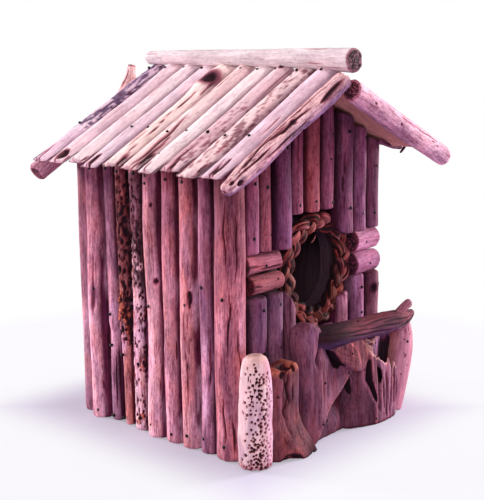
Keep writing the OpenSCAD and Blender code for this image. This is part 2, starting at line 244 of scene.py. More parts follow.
def rings(length, pitch):
    """Places of a stick's rings, as shares of its length, and their widths, narrowing to close its ends"""
    edge = np.array([0, 0.12, 0.35])
    s = np.linspace(0, 1, max(8, int(round(length / pitch))) + 1)
    inner = s[(s * length > 1.2) & (s * length < length - 1.2)]
    s = np.concatenate([edge / length, inner, 1 - edge[::-1] / length])
    shrink = np.array([0.04, 0.3, 0.55, 0.78, 0.93])
    n = len(shrink)
    widths = np.concatenate([shrink, np.ones(len(s)), shrink[::-1]])
    return np.concatenate([np.zeros(n), s, np.ones(n)]), widths


def spine(path, s, out):
    """Centre, axis, front and side of a path at the shares s of its length; front is nearest to out."""
    fine = curve_points(path, 200)
    step = np.concatenate([[0], np.cumsum(np.linalg.norm(np.diff(fine, axis=0), axis=1))])
    step /= step[-1]

    def at(t):
        return np.stack([np.interp(np.clip(t, 0, 1), step, fine[:, k]) for k in range(3)], 1)

    axis = unit(at(s + 0.01) - at(s - 0.01))
    front = unit(out - (axis @ out)[:, None] * axis)
    return at(s), axis, front, np.cross(axis, front)


def cracked(th, pl, rr, cracks):
    """Depth and darkness of cracks on a stick's surface at angles th, places pl and radii rr"""
    depths, dark = np.zeros_like(th), np.zeros_like(th)
    for angle, lo, hi, width, depth in cracks:
        drift = 0.09 * np.sin(pl / 11 + angle) + 0.05 * np.sin(pl / 4.3 + 2 * angle)
        arc = wrap(th - math.radians(angle) - drift) * rr
        mid, half = (lo + hi) / 2, (hi - lo) / 2
        taper = np.sqrt(np.clip(1 - ((pl - mid) / half) ** 2, 0, 1))
        cut = taper * hump(arc, width * (0.35 + 0.65 * taper))
        depths += depth * cut
        dark += 1.1 * cut
    return depths, dark


def knotted(th, pl, rr, knots):
    """Swelling, darkness and red stain of knots"""
    swell, dark, red = np.zeros_like(th), np.zeros_like(th), np.zeros_like(th)
    for angle, at, size in knots:
        arc = wrap(th - math.radians(angle)) * rr
        rho = np.hypot(arc, (pl - at) * 0.8) / size
        swell += 0.34 * size * hump(rho, 1.1) - 0.5 * size * hump(rho, 0.45)
        ring = 0.5 + 0.5 * np.cos(rho * 9)
        dark += 0.95 * np.exp(-(rho / 0.5) ** 4) + 0.4 * ring * np.exp(-(rho / 0.95) ** 4)
        red = np.maximum(red, np.exp(-(rho / 0.66) ** 6))
    return swell, dark, red


def pitted(th, pl, rr, pits):
    """Depth and darkness of round or long pits"""
    depths, dark = np.zeros_like(th), np.zeros_like(th)
    for angle, at, size, depth, stretch in pits:
        arc = wrap(th - math.radians(angle)) * rr
        rho = np.hypot(arc, (pl - at) / stretch) / size
        depths += depth * ease(1.25, 0.75, rho)
        dark += 1.2 * ease(1.3, 0.8, rho)
    return depths, dark


def dirt_and_shade(colour, q, th, seed, stain, grime, dim):
    """A colour with dirty patches, painted shade on both flanks where sticks meet, and painted shade on one
    side
    """
    patches = stain * ease(0.1, 0.45, layered(q, (6, 6, 24), seed + 13, 3))
    colour = colour * (1 - patches[..., None] * np.array([0.45, 0.55, 0.42]))
    # Painted shade on both flanks, where sticks meet their neighbours, and on one side, as if away from the
    # light
    painted_shade = grime * ease(0.62, 1.0, np.abs(np.sin(th)))
    painted_shade = painted_shade + abs(dim) * ease(0.1, 1.0, np.sign(dim) * np.sin(th))
    return colour * (1 - np.minimum(painted_shade, 0.92)[..., None] * np.array([0.92, 1.04, 0.96]))


def rounding(q, pl, rr, length, bevels, seed):
    """How much of its radius each point keeps near the worn ends"""
    wear = 1 + 0.35 * noise(q, (5, 5, 5), seed + 11)
    kept = np.ones_like(rr)
    for dist, bevel in zip((pl, length - pl), bevels):
        b = bevel * wear
        t = np.clip(1 - dist / b, 0, 1)
        kept *= 1 - (1 - np.sqrt(np.clip(1 - t * t, 0, 1))) * np.minimum(b / rr, 0.9)
    return kept


def limb(path, radii, out, seed, tint, alt, around=52, pitch=1.7, bend=0.8, rough=1.0, squash=0.04,
         knots=(), cracks=(), pits=(), bark=(), flat=None, ends=None, round_ends=(1.6, 1.6),
         chew=(0.3, 0.3), dark_ends=(0.25, 0.25), blotch=0.5, grime=0.0, stain=0.6, dim=0.0):
    """A driftwood stick of two colours. Angles are in degrees from the out direction and places in mm
    along it. around, pitch: points round it and mm from ring to ring; bend, rough, squash: how crooked,
    uneven and oval it is.
    knots: (angle, place, size); cracks: (angle, from, to, width, depth);
    pits: (angle, place, radius, depth, stretch); bark: (threshold, depth, colour, size, from, to).
    flat: heights along it from the axis, below which it is cut flat; ends: a last change to its points.
    round_ends, chew, dark_ends: bevel, raggedness and darkness at its two ends.
    blotch: strength of the second colour; stain: of the dirty patches; grime: of the painted shade on both
    flanks, where neighbouring sticks meet;
    dim: of the painted shade on one side, that of the positive angles if it is positive."""
    rng = np.random.default_rng(seed)
    path, out = np.asarray(path, float), np.asarray(out, float)
    length = float(np.linalg.norm(np.diff(path, axis=0), axis=1).sum())
    s, cap = rings(length, pitch)
    centre, axis, front, side = spine(path, s, out)
    place = s * length
    phase, reach = rng.uniform(0, 6.28, 4), rng.uniform(0.5, 1, 2)
    swing = bend * np.sin(math.pi * s)
    centre = centre + side * (swing * reach[0] * np.sin(place / 27 + phase[0]))[:, None]
    centre = centre + front * (0.6 * swing * reach[1] * np.sin(place / 33 + phase[1]))[:, None]
    th, pl = np.meshgrid((np.arange(around) / around * 2 - 1) * math.pi, place)
    rr = np.repeat(np.interp(s, np.linspace(0, 1, len(radii)), radii)[:, None], around, 1)
    q = np.stack([rr * np.cos(th), rr * np.sin(th), pl], -1) + np.array([0, 0, 300.0 * seed])
    # relief, d, and darkness
    crack_depth, crack_dark = cracked(th, pl, rr, cracks)
    swell, knot_dark, knot_red = knotted(th, pl, rr, knots)
    pit_depth, pit_dark = pitted(th, pl, rr, pits)
    split = ease(0.5, 0.75, noise(q, (1.3, 1.3, 30), seed + 4))
    split = split * ease(-0.2, 0.4, noise(q, (9, 9, 30), seed + 5))
    fibres = (0.34 * noise(q, (11, 11, 34), seed) + 0.2 * noise(q, (4, 4, 60), seed + 1)
              + 0.09 * noise(q, (1.5, 1.5, 24), seed + 2) + 0.05 * noise(q, (1.1, 1.1, 3.5), seed + 3))
    d = rr * squash * np.cos(2 * th + phase[2]) + rough * (fibres - 0.28 * split)
    d = d - crack_depth + swell - pit_depth
    dark = 0.45 * split * min(rough, 1.4) + crack_dark + knot_dark + pit_dark
    # colour
    share = ease(-0.15, 0.5, layered(q, (10, 10, 55), seed + 6, 2)) * blotch
    colour = mix(np.asarray(tint, float), np.asarray(alt, float), share[..., None])
    colour = colour * (1 + 0.1 * noise(q, (6, 6, 14), seed + 7))[..., None]
    colour = colour * (1 - knot_red[..., None] * np.array([0.6, 0.8, 0.62]))
    for amount, depth, bark_colour, size, lo, hi in bark:
        patch = layered(q, size, seed + 8, 4)
        patch = ease(amount, amount + 0.12, patch - 1 + ease(lo - 9, lo + 5, pl) * ease(hi + 9, hi - 5, pl))
        d -= depth * patch * (0.7 + 0.5 * noise(q, (1.6, 1.6, 2.5), seed + 9))
        colour = mix(colour, np.asarray(bark_colour, float), (0.85 * patch)[..., None])
        dark += 0.35 * patch * ease(-0.2, 0.6, noise(q, (1.4, 1.4, 2.6), seed + 10))
    # dirty patches, plus painted shade on the flanks and on one side
    colour = dirt_and_shade(colour, q, th, seed, stain, grime, dim)
    # worn and chewed ends
    rad = (rr * rounding(q, pl, rr, length, round_ends, seed) + d * cap[:, None]) * cap[:, None]
    x, y = rad * np.cos(th), rad * np.sin(th)
    chips = layered(np.stack([x, y, pl * 0.1 + 50.0 * seed], -1), (3.2, 3.2, 3.2), seed + 12, 3)
    near0, near1 = ease(3.5, 0, pl), ease(3.5, 0, length - pl)
    shift = (near0 * chew[0] - near1 * chew[1]) * (0.6 + 0.8 * chips)
    if flat is not None:
        x = np.maximum(x, np.interp(s, np.linspace(0, 1, len(flat)), flat)[:, None])
    cut_face = np.repeat((cap < 0.99)[:, None], around, 1).astype(float)
    end_dark = dark_ends[0] * near0 ** 2 + dark_ends[1] * near1 ** 2
    dark += np.where(cut_face > 0, end_dark * (0.8 + 0.5 * ease(-0.2, 0.5, chips)), end_dark * 0.4)
    co = (centre[:, None] + front[:, None] * x[..., None] + side[:, None] * y[..., None]
          + axis[:, None] * shift[..., None])
    grain = np.stack([x, y, pl + shift + 300.0 * (seed % 37)], -1)

    def closed(a):
        """Values at the points, with each end ring's mean for the point that closes it"""
        a = a.reshape(th.size, -1)
        return np.vstack([a, a[:around].mean(0), a[-around:].mean(0)])

    grid = np.arange(th.size).reshape(th.shape)
    nxt = np.roll(grid, -1, 1)
    quads = np.stack([grid[:-1], nxt[:-1], nxt[1:], grid[1:]], -1).reshape(-1, 4)
    first, last = np.full(around, th.size), np.full(around, th.size + 1)
    fans = [np.stack([nxt[0], grid[0], first, first], -1), np.stack([grid[-1], nxt[-1], last, last], -1)]
    co = closed(co)
    if ends is not None:
        co = ends(co)
    return {"co": co, "faces": np.vstack([quads, *fans]), "grain": closed(grain), "cut": closed(cut_face),
            "tint": closed(np.clip(colour, 0.003, 1)), "dark": closed(np.clip(dark, 0, 1))}


# ---------- materials ----------

class Graph:
    """Short calls for building a node tree"""

    def __init__(self, material):
        material.use_nodes = True
        self.tree = material.node_tree
        self.shader = self.tree.nodes["Principled BSDF"]

    def node(self, kind, inputs=None, **settings):
        n = self.tree.nodes.new(kind)
        for key, value in settings.items():
            setattr(n, key, value)
        for key, value in (inputs or {}).items():
            self.link(value, n.inputs[key])
        return n

    def link(self, value, socket):
        if isinstance(value, bpy.types.NodeSocket):
            self.tree.links.new(value, socket)
        else:
            socket.default_value = value

    def attribute(self, name, output):
        return self.node("ShaderNodeAttribute", attribute_name=name).outputs[output]

    def math(self, operation, a, b=0.0, c=0.0, clamp=False):
        n = self.node("ShaderNodeMath", {0: a, 1: b, 2: c}, operation=operation, use_clamp=clamp)
        return n.outputs[0]

    def scaled(self, vector, factors):
        n = self.node("ShaderNodeVectorMath", {0: vector, 1: factors}, operation="MULTIPLY")
        return n.outputs[0]

    def noise(self, vector, scale, detail=3.0, rough=0.55, distortion=0.0):
        n = self.node("ShaderNodeTexNoise", {
            "Vector": vector, "Scale": scale, "Detail": detail, "Roughness": rough,
            "Distortion": distortion})
        return n.outputs["Fac"]

    def steps(self, value, lo, hi, to_lo=0.0, to_hi=1.0):
        n = self.node("ShaderNodeMapRange", {0: value, 1: lo, 2: hi, 3: to_lo, 4: to_hi},
                      interpolation_type="SMOOTHSTEP")
        return n.outputs[0]

    def blend(self, factor, a, b, mode="MIX"):
        n = self.node("ShaderNodeMix", data_type="RGBA", blend_type=mode)
        self.link(factor, n.inputs[0])
        self.link(a, n.inputs[6])
        self.link(b, n.inputs[7])
        return n.outputs[2]

    def bump(self, height, strength, distance):
        n = self.node("ShaderNodeBump", {"Height": height, "Strength": strength, "Distance": distance})
        self.tree.links.new(n.outputs[0], self.shader.inputs["Normal"])


# Colours that darken others where they multiply them
REDDENED, GLOOMY, STAIN_AND_SHADE = (1.04, 0.74, 0.86, 1), (0.34, 0.17, 0.25, 1), (0.62, 0.3, 0.36, 1)


def driftwood(name, fibre=0.3, streaks=0.5, specks=0.4, warm=(1.12, 0.95, 0.86), relief=0.5, roughness=0.8,
              shadow=(0.016, 0.005, 0.01)):
    """Weathered wood whose fibres run along each stick; its colour, cracks and ends come with the mesh."""
    material = bpy.data.materials.new(name)
    g = Graph(material)
    grain = g.attribute("grain", "Vector")
    tint = g.attribute("tint", "Vector")
    dark = g.attribute("dark", "Fac")
    cut = g.attribute("cut", "Fac")
    fine = g.noise(g.scaled(grain, (1.2, 1.2, 0.1)), 1.0, 4.0, 0.62, 0.3)
    wide = g.noise(g.scaled(grain, (0.45, 0.45, 0.035)), 1.0, 3.0, 0.5, 0.4)
    fleck = g.noise(g.scaled(grain, (0.8, 0.8, 0.3)), 1.0, 5.0, 0.68, 0.4)
    cloud = g.noise(g.scaled(grain, (0.15, 0.15, 0.05)), 1.0, 4.0, 0.6, 0.3)
    blot = g.noise(g.scaled(grain, (0.12, 0.12, 0.04)), 1.0, 3.0, 0.55)
    speck = g.noise(g.scaled(grain, (0.95, 0.95, 0.4)), 1.0, 3.0, 0.6)
    shade = g.math("ADD", g.steps(fine, 0.34, 0.66, 1 - fibre, 1 + fibre * 0.8),
                  g.steps(wide, 0.32, 0.68, -fibre * 0.7, fibre * 0.5))
    shade = g.math("ADD", shade, g.steps(fleck, 0.36, 0.64, -fibre * 0.8, fibre * 0.6))
    shade = g.math("ADD", shade, g.steps(cloud, 0.34, 0.66, -fibre * 0.8, fibre * 0.5))
    shade = g.math("MAXIMUM", shade, 0.15)
    colour = g.blend(1.0, tint, shade, "MULTIPLY")
    rich = g.blend(1.0, colour, REDDENED, "MULTIPLY")
    colour = g.blend(g.steps(shade, 1.0, 0.4), colour, rich)
    warmed = g.blend(1.0, colour, (*warm, 1), "MULTIPLY")
    colour = g.blend(g.steps(blot, 0.42, 0.66), colour, warmed)
    thin = g.math("MULTIPLY", g.steps(fine, 0.38, 0.3), g.steps(wide, 0.62, 0.4))
    dots = g.math("MULTIPLY", g.steps(speck, 0.6, 0.68), specks)
    lines = g.math("MULTIPLY", thin, streaks)
    marks = g.math("MAXIMUM", dots, lines)
    gloom = g.blend(1.0, colour, GLOOMY, "MULTIPLY")
    colour = g.blend(marks, colour, gloom)
    across = g.noise(g.scaled(grain, (1.1, 1.1, 0.25)), 1.0, 4.0, 0.65, 0.8)
    rough_end = g.blend(1.0, colour, g.steps(across, 0.35, 0.65, 0.42, 1.1), "MULTIPLY")
    colour = g.blend(cut, colour, rough_end)
    pores = g.steps(g.noise(g.scaled(grain, (0.7, 0.7, 0.7)), 1.0, 2.0, 0.5), 0.43, 0.5)
    filled = g.math("MULTIPLY", g.math("SUBTRACT", 1.0, pores), g.math("MULTIPLY", cut, 0.75))
    # The dark attribute is partly painted shade in cracks, pits, slots and gaps and partly dark knots, bark
    # and ends; it turns the colour red-brown, then goes to the painted shadow colour
    stain_and_shade = g.blend(1.0, colour, STAIN_AND_SHADE, "MULTIPLY")
    colour = g.blend(g.steps(dark, 0.02, 0.5), colour, stain_and_shade)
    sunk = g.math("MULTIPLY", g.steps(dark, 0.2, 0.92), g.math("SUBTRACT", 0.97, filled))
    colour = g.blend(sunk, colour, (*shadow, 1))
    g.link(colour, g.shader.inputs["Base Color"])
    g.shader.inputs["Roughness"].default_value = roughness
    g.shader.inputs["Specular IOR Level"].default_value = 0.14
    height = g.math("ADD", fine, g.math("MULTIPLY", wide, 0.6))
    height = g.math("SUBTRACT", height, g.math("MULTIPLY", dots, 0.6))
    height = g.math("ADD", height, g.math("MULTIPLY", g.math("MULTIPLY", across, cut), 1.5))
    g.bump(height, relief, 0.0006)
    return material


def nail_steel():
    """Nearly black, slightly rusty nail heads"""
    material = bpy.data.materials.new("nail_steel")
    g = Graph(material)
    at = g.node("ShaderNodeTexCoord").outputs["Object"]
    rust = g.noise(at, 900.0, 3.0, 0.6)
    g.link(g.blend(g.steps(rust, 0.4, 0.65), (0.004, 0.002, 0.003, 1), (0.016, 0.007, 0.008, 1)),
           g.shader.inputs["Base Color"])
    g.shader.inputs["Metallic"].default_value = 0.6
    g.link(g.steps(rust, 0.3, 0.7, 0.4, 0.75), g.shader.inputs["Roughness"])
    return material


def sawn_board(name, colour, deep):
    """Thin board with its grain along one axis, for the CAD boards that stay"""
    material = bpy.data.materials.new(name)
    g = Graph(material)
    at = g.node("ShaderNodeTexCoord").outputs["Object"]
    grain = g.noise(g.scaled(at, (900.0, 900.0, 30.0)), 1.0, 4.0, 0.6, 0.6)
    broad = g.noise(g.scaled(at, (120.0, 120.0, 12.0)), 1.0, 3.0, 0.5, 0.8)
    shade = g.blend(g.steps(grain, 0.3, 0.7), (*deep, 1), (*colour, 1))
    shade = g.blend(g.steps(broad, 0.35, 0.7, 0.0, 0.5), shade, (*np.multiply(colour, 1.2), 1))
    g.link(shade, g.shader.inputs["Base Color"])
    g.shader.inputs["Roughness"].default_value = 0.82
    g.shader.inputs["Specular IOR Level"].default_value = 0.25
    g.bump(grain, 0.35, 0.0005)
    return material


# ---------- pieces ----------

WALL = driftwood("wall_driftwood", fibre=0.25, streaks=0.45, specks=0.5, relief=0.6)
FRONT = driftwood("front_driftwood", fibre=0.25, streaks=0.45, specks=0.4, warm=(1.1, 0.93, 0.9),
                  relief=0.45)
BLEACHED = driftwood("bleached_driftwood", fibre=0.11, streaks=0.5, specks=0.3, warm=(1.02, 0.96, 0.96),
                     relief=0.4, shadow=(0.02, 0.006, 0.01))
RAKE = driftwood("rake_driftwood", fibre=0.24, streaks=0.6, specks=0.5, warm=(1.05, 0.95, 0.92),
                 relief=0.55, shadow=(0.022, 0.008, 0.014))
LOG = driftwood("log_driftwood", fibre=0.22, streaks=0.4, specks=0.35, warm=(1.08, 0.93, 0.88), relief=0.45)
BLOCK = driftwood("block_driftwood", fibre=0.22, streaks=0.45, specks=0.5, warm=(1.15, 0.95, 0.85),
                  relief=0.6)
PALE = driftwood("pale_driftwood", fibre=0.07, streaks=0.15, specks=0.15, warm=(1.02, 0.97, 0.94),
                 relief=0.3, shadow=(0.03, 0.01, 0.012))
BRAID = driftwood("braided_fibre", fibre=0.35, streaks=0.6, specks=0.3, warm=(1.2, 0.95, 0.8), relief=0.7,
                  roughness=0.85, shadow=(0.012, 0.004, 0.006))
STEEL = nail_steel()

ROOF_PITCH = math.radians(29)
SIN, COS = math.sin(ROOF_PITCH), math.cos(ROOF_PITCH)

nails = {}


def nail(group, at, out, size=1.15):
    """Remembers a nail head of that radius, driven in along -out; nail_heads() makes them."""
    nails.setdefault(group, []).append((np.asarray(at, float), unit(out), size))


def nail_heads(group):
    """The remembered nail heads of a group, as one piece: low domes with a rim"""
    rng = np.random.default_rng(len(group))
    around, parts = 12, []
    profile = ((1.0, -1.2), (1.0, 0.12), (0.86, 0.3), (0.5, 0.42), (0.12, 0.46))
    for at, out, size in nails[group]:
        helper = (0, 0, 1) if abs(out[2]) < 0.8 else (0, 1, 0)
        tilted = unit(out + 0.18 * rng.normal(size=3))
        u = unit(np.cross(tilted, helper))
        v = np.cross(tilted, u)
        th = np.arange(around) / around * 2 * math.pi
        oval = rng.uniform(0.85, 1.1)
        circle = np.cos(th)[:, None] * u * oval + np.sin(th)[:, None] * v
        circles = [at + circle * size * r + tilted * h * size for r, h in profile]
        co = np.vstack(circles + [at + tilted * 0.47 * size, at - tilted * 1.2 * size])
        n = len(profile) * around
        grid = np.arange(n).reshape(-1, around)
        nxt = np.roll(grid, -1, 1)
        quads = np.stack([grid[:-1], nxt[:-1], nxt[1:], grid[1:]], -1).reshape(-1, 4)
        top = np.stack([grid[-1], nxt[-1], np.full(around, n), np.full(around, n)], -1)
        foot = np.stack([nxt[0], grid[0], np.full(around, n + 1), np.full(around, n + 1)], -1)
        faces = np.vstack([quads, top, foot])[:, ::-1]
        faces = np.where((faces[:, :1] == faces[:, 1:2]), faces[:, [1, 2, 3, 3]], faces)
        zero = np.zeros(len(co))
        parts.append({"co": co, "faces": faces, "grain": co, "tint": co * 0, "dark": zero, "cut": zero})
    put(group, parts, (), STEEL)


def dab(tint, colour, amount):
    """A colour laid over tints by an amount at each point"""
    return mix(tint, np.asarray(colour), np.clip(amount, 0, 1)[:, None])


def daub(part, colour, amount):
    """The same on a part"""
    part["tint"] = dab(part["tint"], colour, amount)


def upright(points, out, row, seed, foot=None, head=None, bloom=0.12, **style):
    """An upright wall stick in a CAD solid's place; its ends follow the solid's cuts.
    foot and head give the height of each end at x where the CAD's cut isn't flat."""
    lo, hi = points.min(0), points.max(0)
    k = 0 if abs(row[0]) > 0.5 else 1
    mid = (lo + hi) / 2
    r = (hi[k] - lo[k]) / 2
    top = points[points[:, 2] > hi[2] - 0.62 * (hi[0] - lo[0]) - 0.5]
    fit = np.linalg.lstsq(np.c_[np.ones(len(top)), top[:, 0]], top[:, 2], rcond=None)[0]
    path = style.pop("path", None)
    radii = style.pop("radii", (r, r * 0.97))
    if path is None:
        path = [(mid[0], mid[1], lo[2]), (mid[0], mid[1], hi[2])]

    def fitted(co):
        x, z = co[:, 0], co[:, 2]
        t = (z - lo[2]) / (hi[2] - lo[2])
        low = lo[2] if foot is None else foot(x)
        high = fit[0] + fit[1] * x if head is None else head(x)
        co[:, 2] = np.maximum(low + t * (high - low), 0.04)
        return co

    part = limb(path, radii, out, seed, ends=fitted, **style)
    down = ease(190, 50, part["co"][:, 2])
    patches = layered(part["grain"], (7, 7, 34), seed + 21, 3)
    part["tint"] = dab(part["tint"], BLOOM, bloom * (0.4 + 0.6 * down) * ease(0.05, 0.5, patches))
    part["tint"] = part["tint"] * (1 - 0.4 * bloom * ease(0.0, -0.5, patches))[:, None]
    # Painted shade under the eave: the tint darkens and turns pinker towards the top of the stick and is
    # lighter and paler towards its foot
    hue = np.array([1.03, 0.9, 0.93]) + down[:, None] * np.array([-0.02, 0.28, 0.24])
    part["tint"] = part["tint"] * (0.72 + 0.6 * down)[:, None] * hue
    return part


def wall(name, node, out, row, styles, seed, tones, **common):
    """A row of upright sticks; styles holds what differs from stick to stick."""
    parts = []
    for i, points in enumerate(in_rows(solids(node), row)):
        base, alt = tones[i % len(tones)]
        style = {"tint": base, "alt": alt, **common, **styles.get(i, {})}
        parts.append(upright(points, out, row, seed + i, **style))
    put(name, parts, [node], WALL)


def face_nail(group, points, row, out, z, across=0.0):
    """A nail in the out side of a row's stick at height z, that far across from its middle"""
    lo, hi = points.min(0), points.max(0)
    mid, out = (lo + hi) / 2, np.asarray(out, float)
    r = (hi - lo) @ np.asarray(row) / 2
    lean = math.asin(max(-0.9, min(0.9, across / r)))
    normal = out * math.cos(lean) + np.cross((0, 0, 1), out) * math.sin(lean)
    nail(group, np.array([mid[0], mid[1], z]) + normal * (r - 0.05), normal)


def wall_nails(wall_name, row, out, heights):
    """Nails in each stick of a wall's row, at the heights given for it"""
    for i, points in enumerate(in_rows(solids(f"{wall_name}_sticks"), row)):
        for j, z in enumerate(heights[i]):
            face_nail(f"{wall_name}_nails", points, row, out, z, across=((i * 7 + j * 5) % 5 - 2) * 0.8)


LEFT, RIGHT, FRONT_SIDE, BACK = (-1, 0, 0), (1, 0, 0), (0, -1, 0), (0, 1, 0)
ALONG_X, ALONG_Y = (1, 0, 0), (0, 1, 0)

ROSE, MAUVE, PLUM, GREY = tone(186, 108, 120), tone(160, 98, 130), tone(122, 66, 104), tone(140, 92, 122)
RIM_HIGHLIGHT = tone(240, 184, 204)
BLOOM = tone(216, 152, 176)
LAST_FRONT_STICK = 8


def calmed(tones, middle, share):
    """Pairs of colours drawn some way towards a middle one"""
    return [tuple(mix(np.asarray(c), np.asarray(middle), share) for c in pair) for pair in tones]


def worm_holes(rng, count, low, size, depth, stretch):
    """Pits for limb() at random places above a height, each measure between two limits"""
    return [(rng.uniform(-30, 95), rng.uniform(low, 176), rng.uniform(*size), rng.uniform(*depth),
             rng.uniform(1, stretch)) for _ in range(count)]


def left_wall():
    tones = [(tone(176, 112, 134), tone(128, 78, 106)), (tone(214, 138, 144), tone(182, 106, 114)),
             (tone(202, 128, 140), tone(164, 98, 122)), (tone(222, 154, 164), tone(190, 118, 134)),
             (tone(232, 176, 186), tone(202, 132, 146)), (tone(196, 116, 114), tone(160, 88, 94)),
             (tone(180, 122, 142), tone(144, 90, 114)), (tone(222, 154, 168), tone(186, 116, 136))]
    crust, black, maroon = tone(132, 66, 70), tone(52, 24, 36), tone(112, 58, 76)
    orange, brown = tone(206, 106, 80), tone(96, 52, 66)
    rng = np.random.default_rng(5)
    eaten = {"rough": 2.0, "around": 72, "pitch": 0.9}
    styles = {
        0: {"cracks": [(38, 40, 82, 0.5, 0.9), (60, 100, 150, 0.4, 0.6)], "stain": 0.9, "bend": 1.2},
        1: {"cracks": [(24, 97, 111, 1.0, 2.6), (30, 101, 111, 1.5, 2.0), (10, 30, 80, 0.4, 0.6)],
            "bend": 0.7},
        2: {"cracks": [(50, 60, 74, 0.4, 0.6)], "knots": [(-50, 66, 2.0)], "bend": 1.2},
        3: {"knots": [(40, 113, 2.6), (30, 166, 1.7)], "cracks": [(48, 20, 60, 0.35, 0.5)],
            "pits": [(40, 113, 1.2, 1.4, 1.0), (30, 166, 0.8, 1.0, 1.0)], "bend": 1.5},
        4: {"bark": [(-0.6, 0.2, maroon, (4, 4, 12), 138, 184),
                     (-0.25, 0.9, black, (2.4, 2.4, 7), 108, 142),
                     (0.12, 0.8, brown, (2.2, 2.2, 5), 0, 180), (0.2, -0.3, orange, (3, 3, 6), 0, 120)],
            "bend": 0.6, "pits": worm_holes(rng, 150, 4, (0.5, 0.9), (0.8, 1.5), 2.2), **eaten},
        5: {"bark": [(-0.45, -0.7, crust, (3, 3, 7), 58, 184), (-0.05, -0.3, orange, (3, 3, 6), 58, 104),
                     (0.1, 1.6, black, (1.8, 1.8, 3.4), 56, 184)], "radii": [4.6] * 10 + [5.4] + [6.3] * 18,
            "bend": 0.5, "pits": worm_holes(rng, 110, 62, (0.6, 1.2), (0.9, 1.6), 2), **eaten},
        6: {"cracks": [(30, 8, 52, 0.6, 1.0), (62, 20, 60, 0.5, 0.8)], "bend": 1.1, "stain": 0.9,
            "radii": [5.2] * 10 + [6.4] + [6.1] * 17,
            "pits": [(a, 65.5, 0.8, 0.9, 0.6) for a in range(-30, 90, 9)]},
        7: {"cracks": [(52, 20, 34, 0.4, 0.5)], "bend": 1.3, "stain": 0.8},
    }
    wall("left_wall_driftwood", "left_wall_sticks", LEFT, ALONG_Y, styles, 11, tones, chew=(0.5, 0.3),
         round_ends=(1.3, 1.0), dark_ends=(0.5, 0.3), grime=0.9, rough=1.5, dim=0.4, bloom=0.6, stain=0.75)
    wall_nails("left_wall", ALONG_Y, LEFT, [
        (180, 110, 10), (176, 97, 9), (176.5, 93, 6.5), (177.7, 172.5, 90.8, 9), (177.7, 47.8, 9.5),
        (177.8, 50.8, 5.5), (178.8, 77.4, 55.5, 4.5), (178.2, 94.2, 6.2)])


# The sides that the photo doesn't show have coarser meshes
UNSEEN = {"chew": (0.5, 0.3), "round_ends": (1.3, 1.0), "dark_ends": (0.5, 0.3), "around": 30, "pitch": 3.6,
          "grime": 0.8}


def low_nails(count, high, middle):
    """Heights for the nails of each stick: under the eave, at mid height and near the foot"""
    return [(high[i], middle + 4 * math.sin(i * 2.1), 8 + math.sin(i)) for i in range(count)]


def right_wall():
    tones = [(ROSE, MAUVE), (MAUVE, PLUM), (tone(178, 96, 96), ROSE), (GREY, MAUVE)]
    tones = calmed(tones, tone(144, 84, 98), 0.5)
    styles = {1: {"cracks": [(-30, 30, 90, 0.6, 1.0)]}, 3: {"knots": [(-20, 120, 2.4)]},
              5: {"bark": [(0.1, 0.9, tone(90, 46, 60), (5, 5, 15), 0, 180)], "rough": 1.5},
              6: {"knots": [(15, 60, 2.0)]}}
    wall("right_wall_driftwood", "right_wall_sticks", RIGHT, ALONG_Y, styles, 41, tones, **UNSEEN)
    wall_nails("right_wall", ALONG_Y, RIGHT, low_nails(8, [178] * 8, 92))


def back_wall():
    tones = [(tone(190, 112, 128), ROSE), (MAUVE, PLUM), (ROSE, tone(150, 80, 92)), (GREY, MAUVE),
             (tone(176, 98, 104), MAUVE), (tone(158, 92, 112), ROSE), (tone(136, 84, 98), PLUM)]
    tones = calmed(tones, tone(140, 80, 92), 0.55)
    styles = {0: {"knots": [(-88, 148, 2.2), (-84, 84, 2.4)], "bend": 0.6, "grime": 0.3, "stain": 0.5,
                  "tint": tone(196, 134, 150), "alt": tone(174, 106, 124)},
              3: {"cracks": [(10, 60, 140, 0.6, 1.0)]}, 4: {"knots": [(12, 150, 2.4)]},
              6: {"bark": [(0.1, 0.9, tone(90, 46, 60), (5, 5, 15), 0, 240)], "rough": 1.5},
              8: {"knots": [(-15, 70, 2.2)]}}
    wall("back_wall_driftwood", "back_wall_sticks", BACK, ALONG_X, styles, 61, tones, **UNSEEN)
    tops = [points[:, 2].max() - 12 for points in in_rows(solids("back_wall_sticks"), ALONG_X)]
    wall_nails("back_wall", ALONG_X, BACK, low_nails(len(tops), tops, 94))


def corner():
    points = solids("corner_stick")[0]
    cracks = [(-30, 12, 46, 0.7, 1.1), (8, 6, 30, 0.8, 1.3), (26, 4, 26, 0.7, 1.2), (-8, 70, 120, 0.5, 0.7),
              (20, 120, 165, 0.6, 0.8), (-22, 130, 176, 0.5, 0.7), (34, 60, 90, 0.5, 0.6)]
    part = upright(points, unit((-1, -1, 0)), ALONG_Y, 83, tint=tone(190, 112, 124), alt=tone(148, 82, 100),
                   blotch=0.8, rough=1.2, around=72, bloom=0.5, chew=(0.6, 0.3), round_ends=(1.8, 1.0),
                   cracks=cracks, knots=[(34, 26, 1.8)], dark_ends=(0.5, 0.3))
    # Painted shadow of the rake: the corner stick darkens towards its top
    top = ease(110, 205, part["co"][:, 2])[:, None]
    part["tint"] = part["tint"] * (1 - top * np.array([0.52, 0.46, 0.38]))
    put("corner_driftwood", [part], ["corner_stick"], WALL)
    for z in (184, 105.5, 10):
        face_nail("left_wall_nails", points, ALONG_Y, LEFT, z, across=1.5)


def beside_ring(x, flat, way):
    """End height at x of a front stick: flat, or following the ring's top (way 1) or underside (way -1)"""
    lo, hi = span("braid_ring")
    cx, cz = (lo[0] + hi[0]) / 2, (lo[2] + hi[2]) / 2
    r = (hi[0] - lo[0]) / 2
    straight = (hi[2] - lo[2]) / 2 - r
    clear = r + 0.8
    arch = np.sqrt(np.clip(clear ** 2 - (x - cx) ** 2, 0, None))
    ring = np.where(np.abs(x - cx) < clear, cz + way * (straight + 0.62 * arch), flat)
    return np.maximum(flat, ring) if way > 0 else np.minimum(flat, ring)


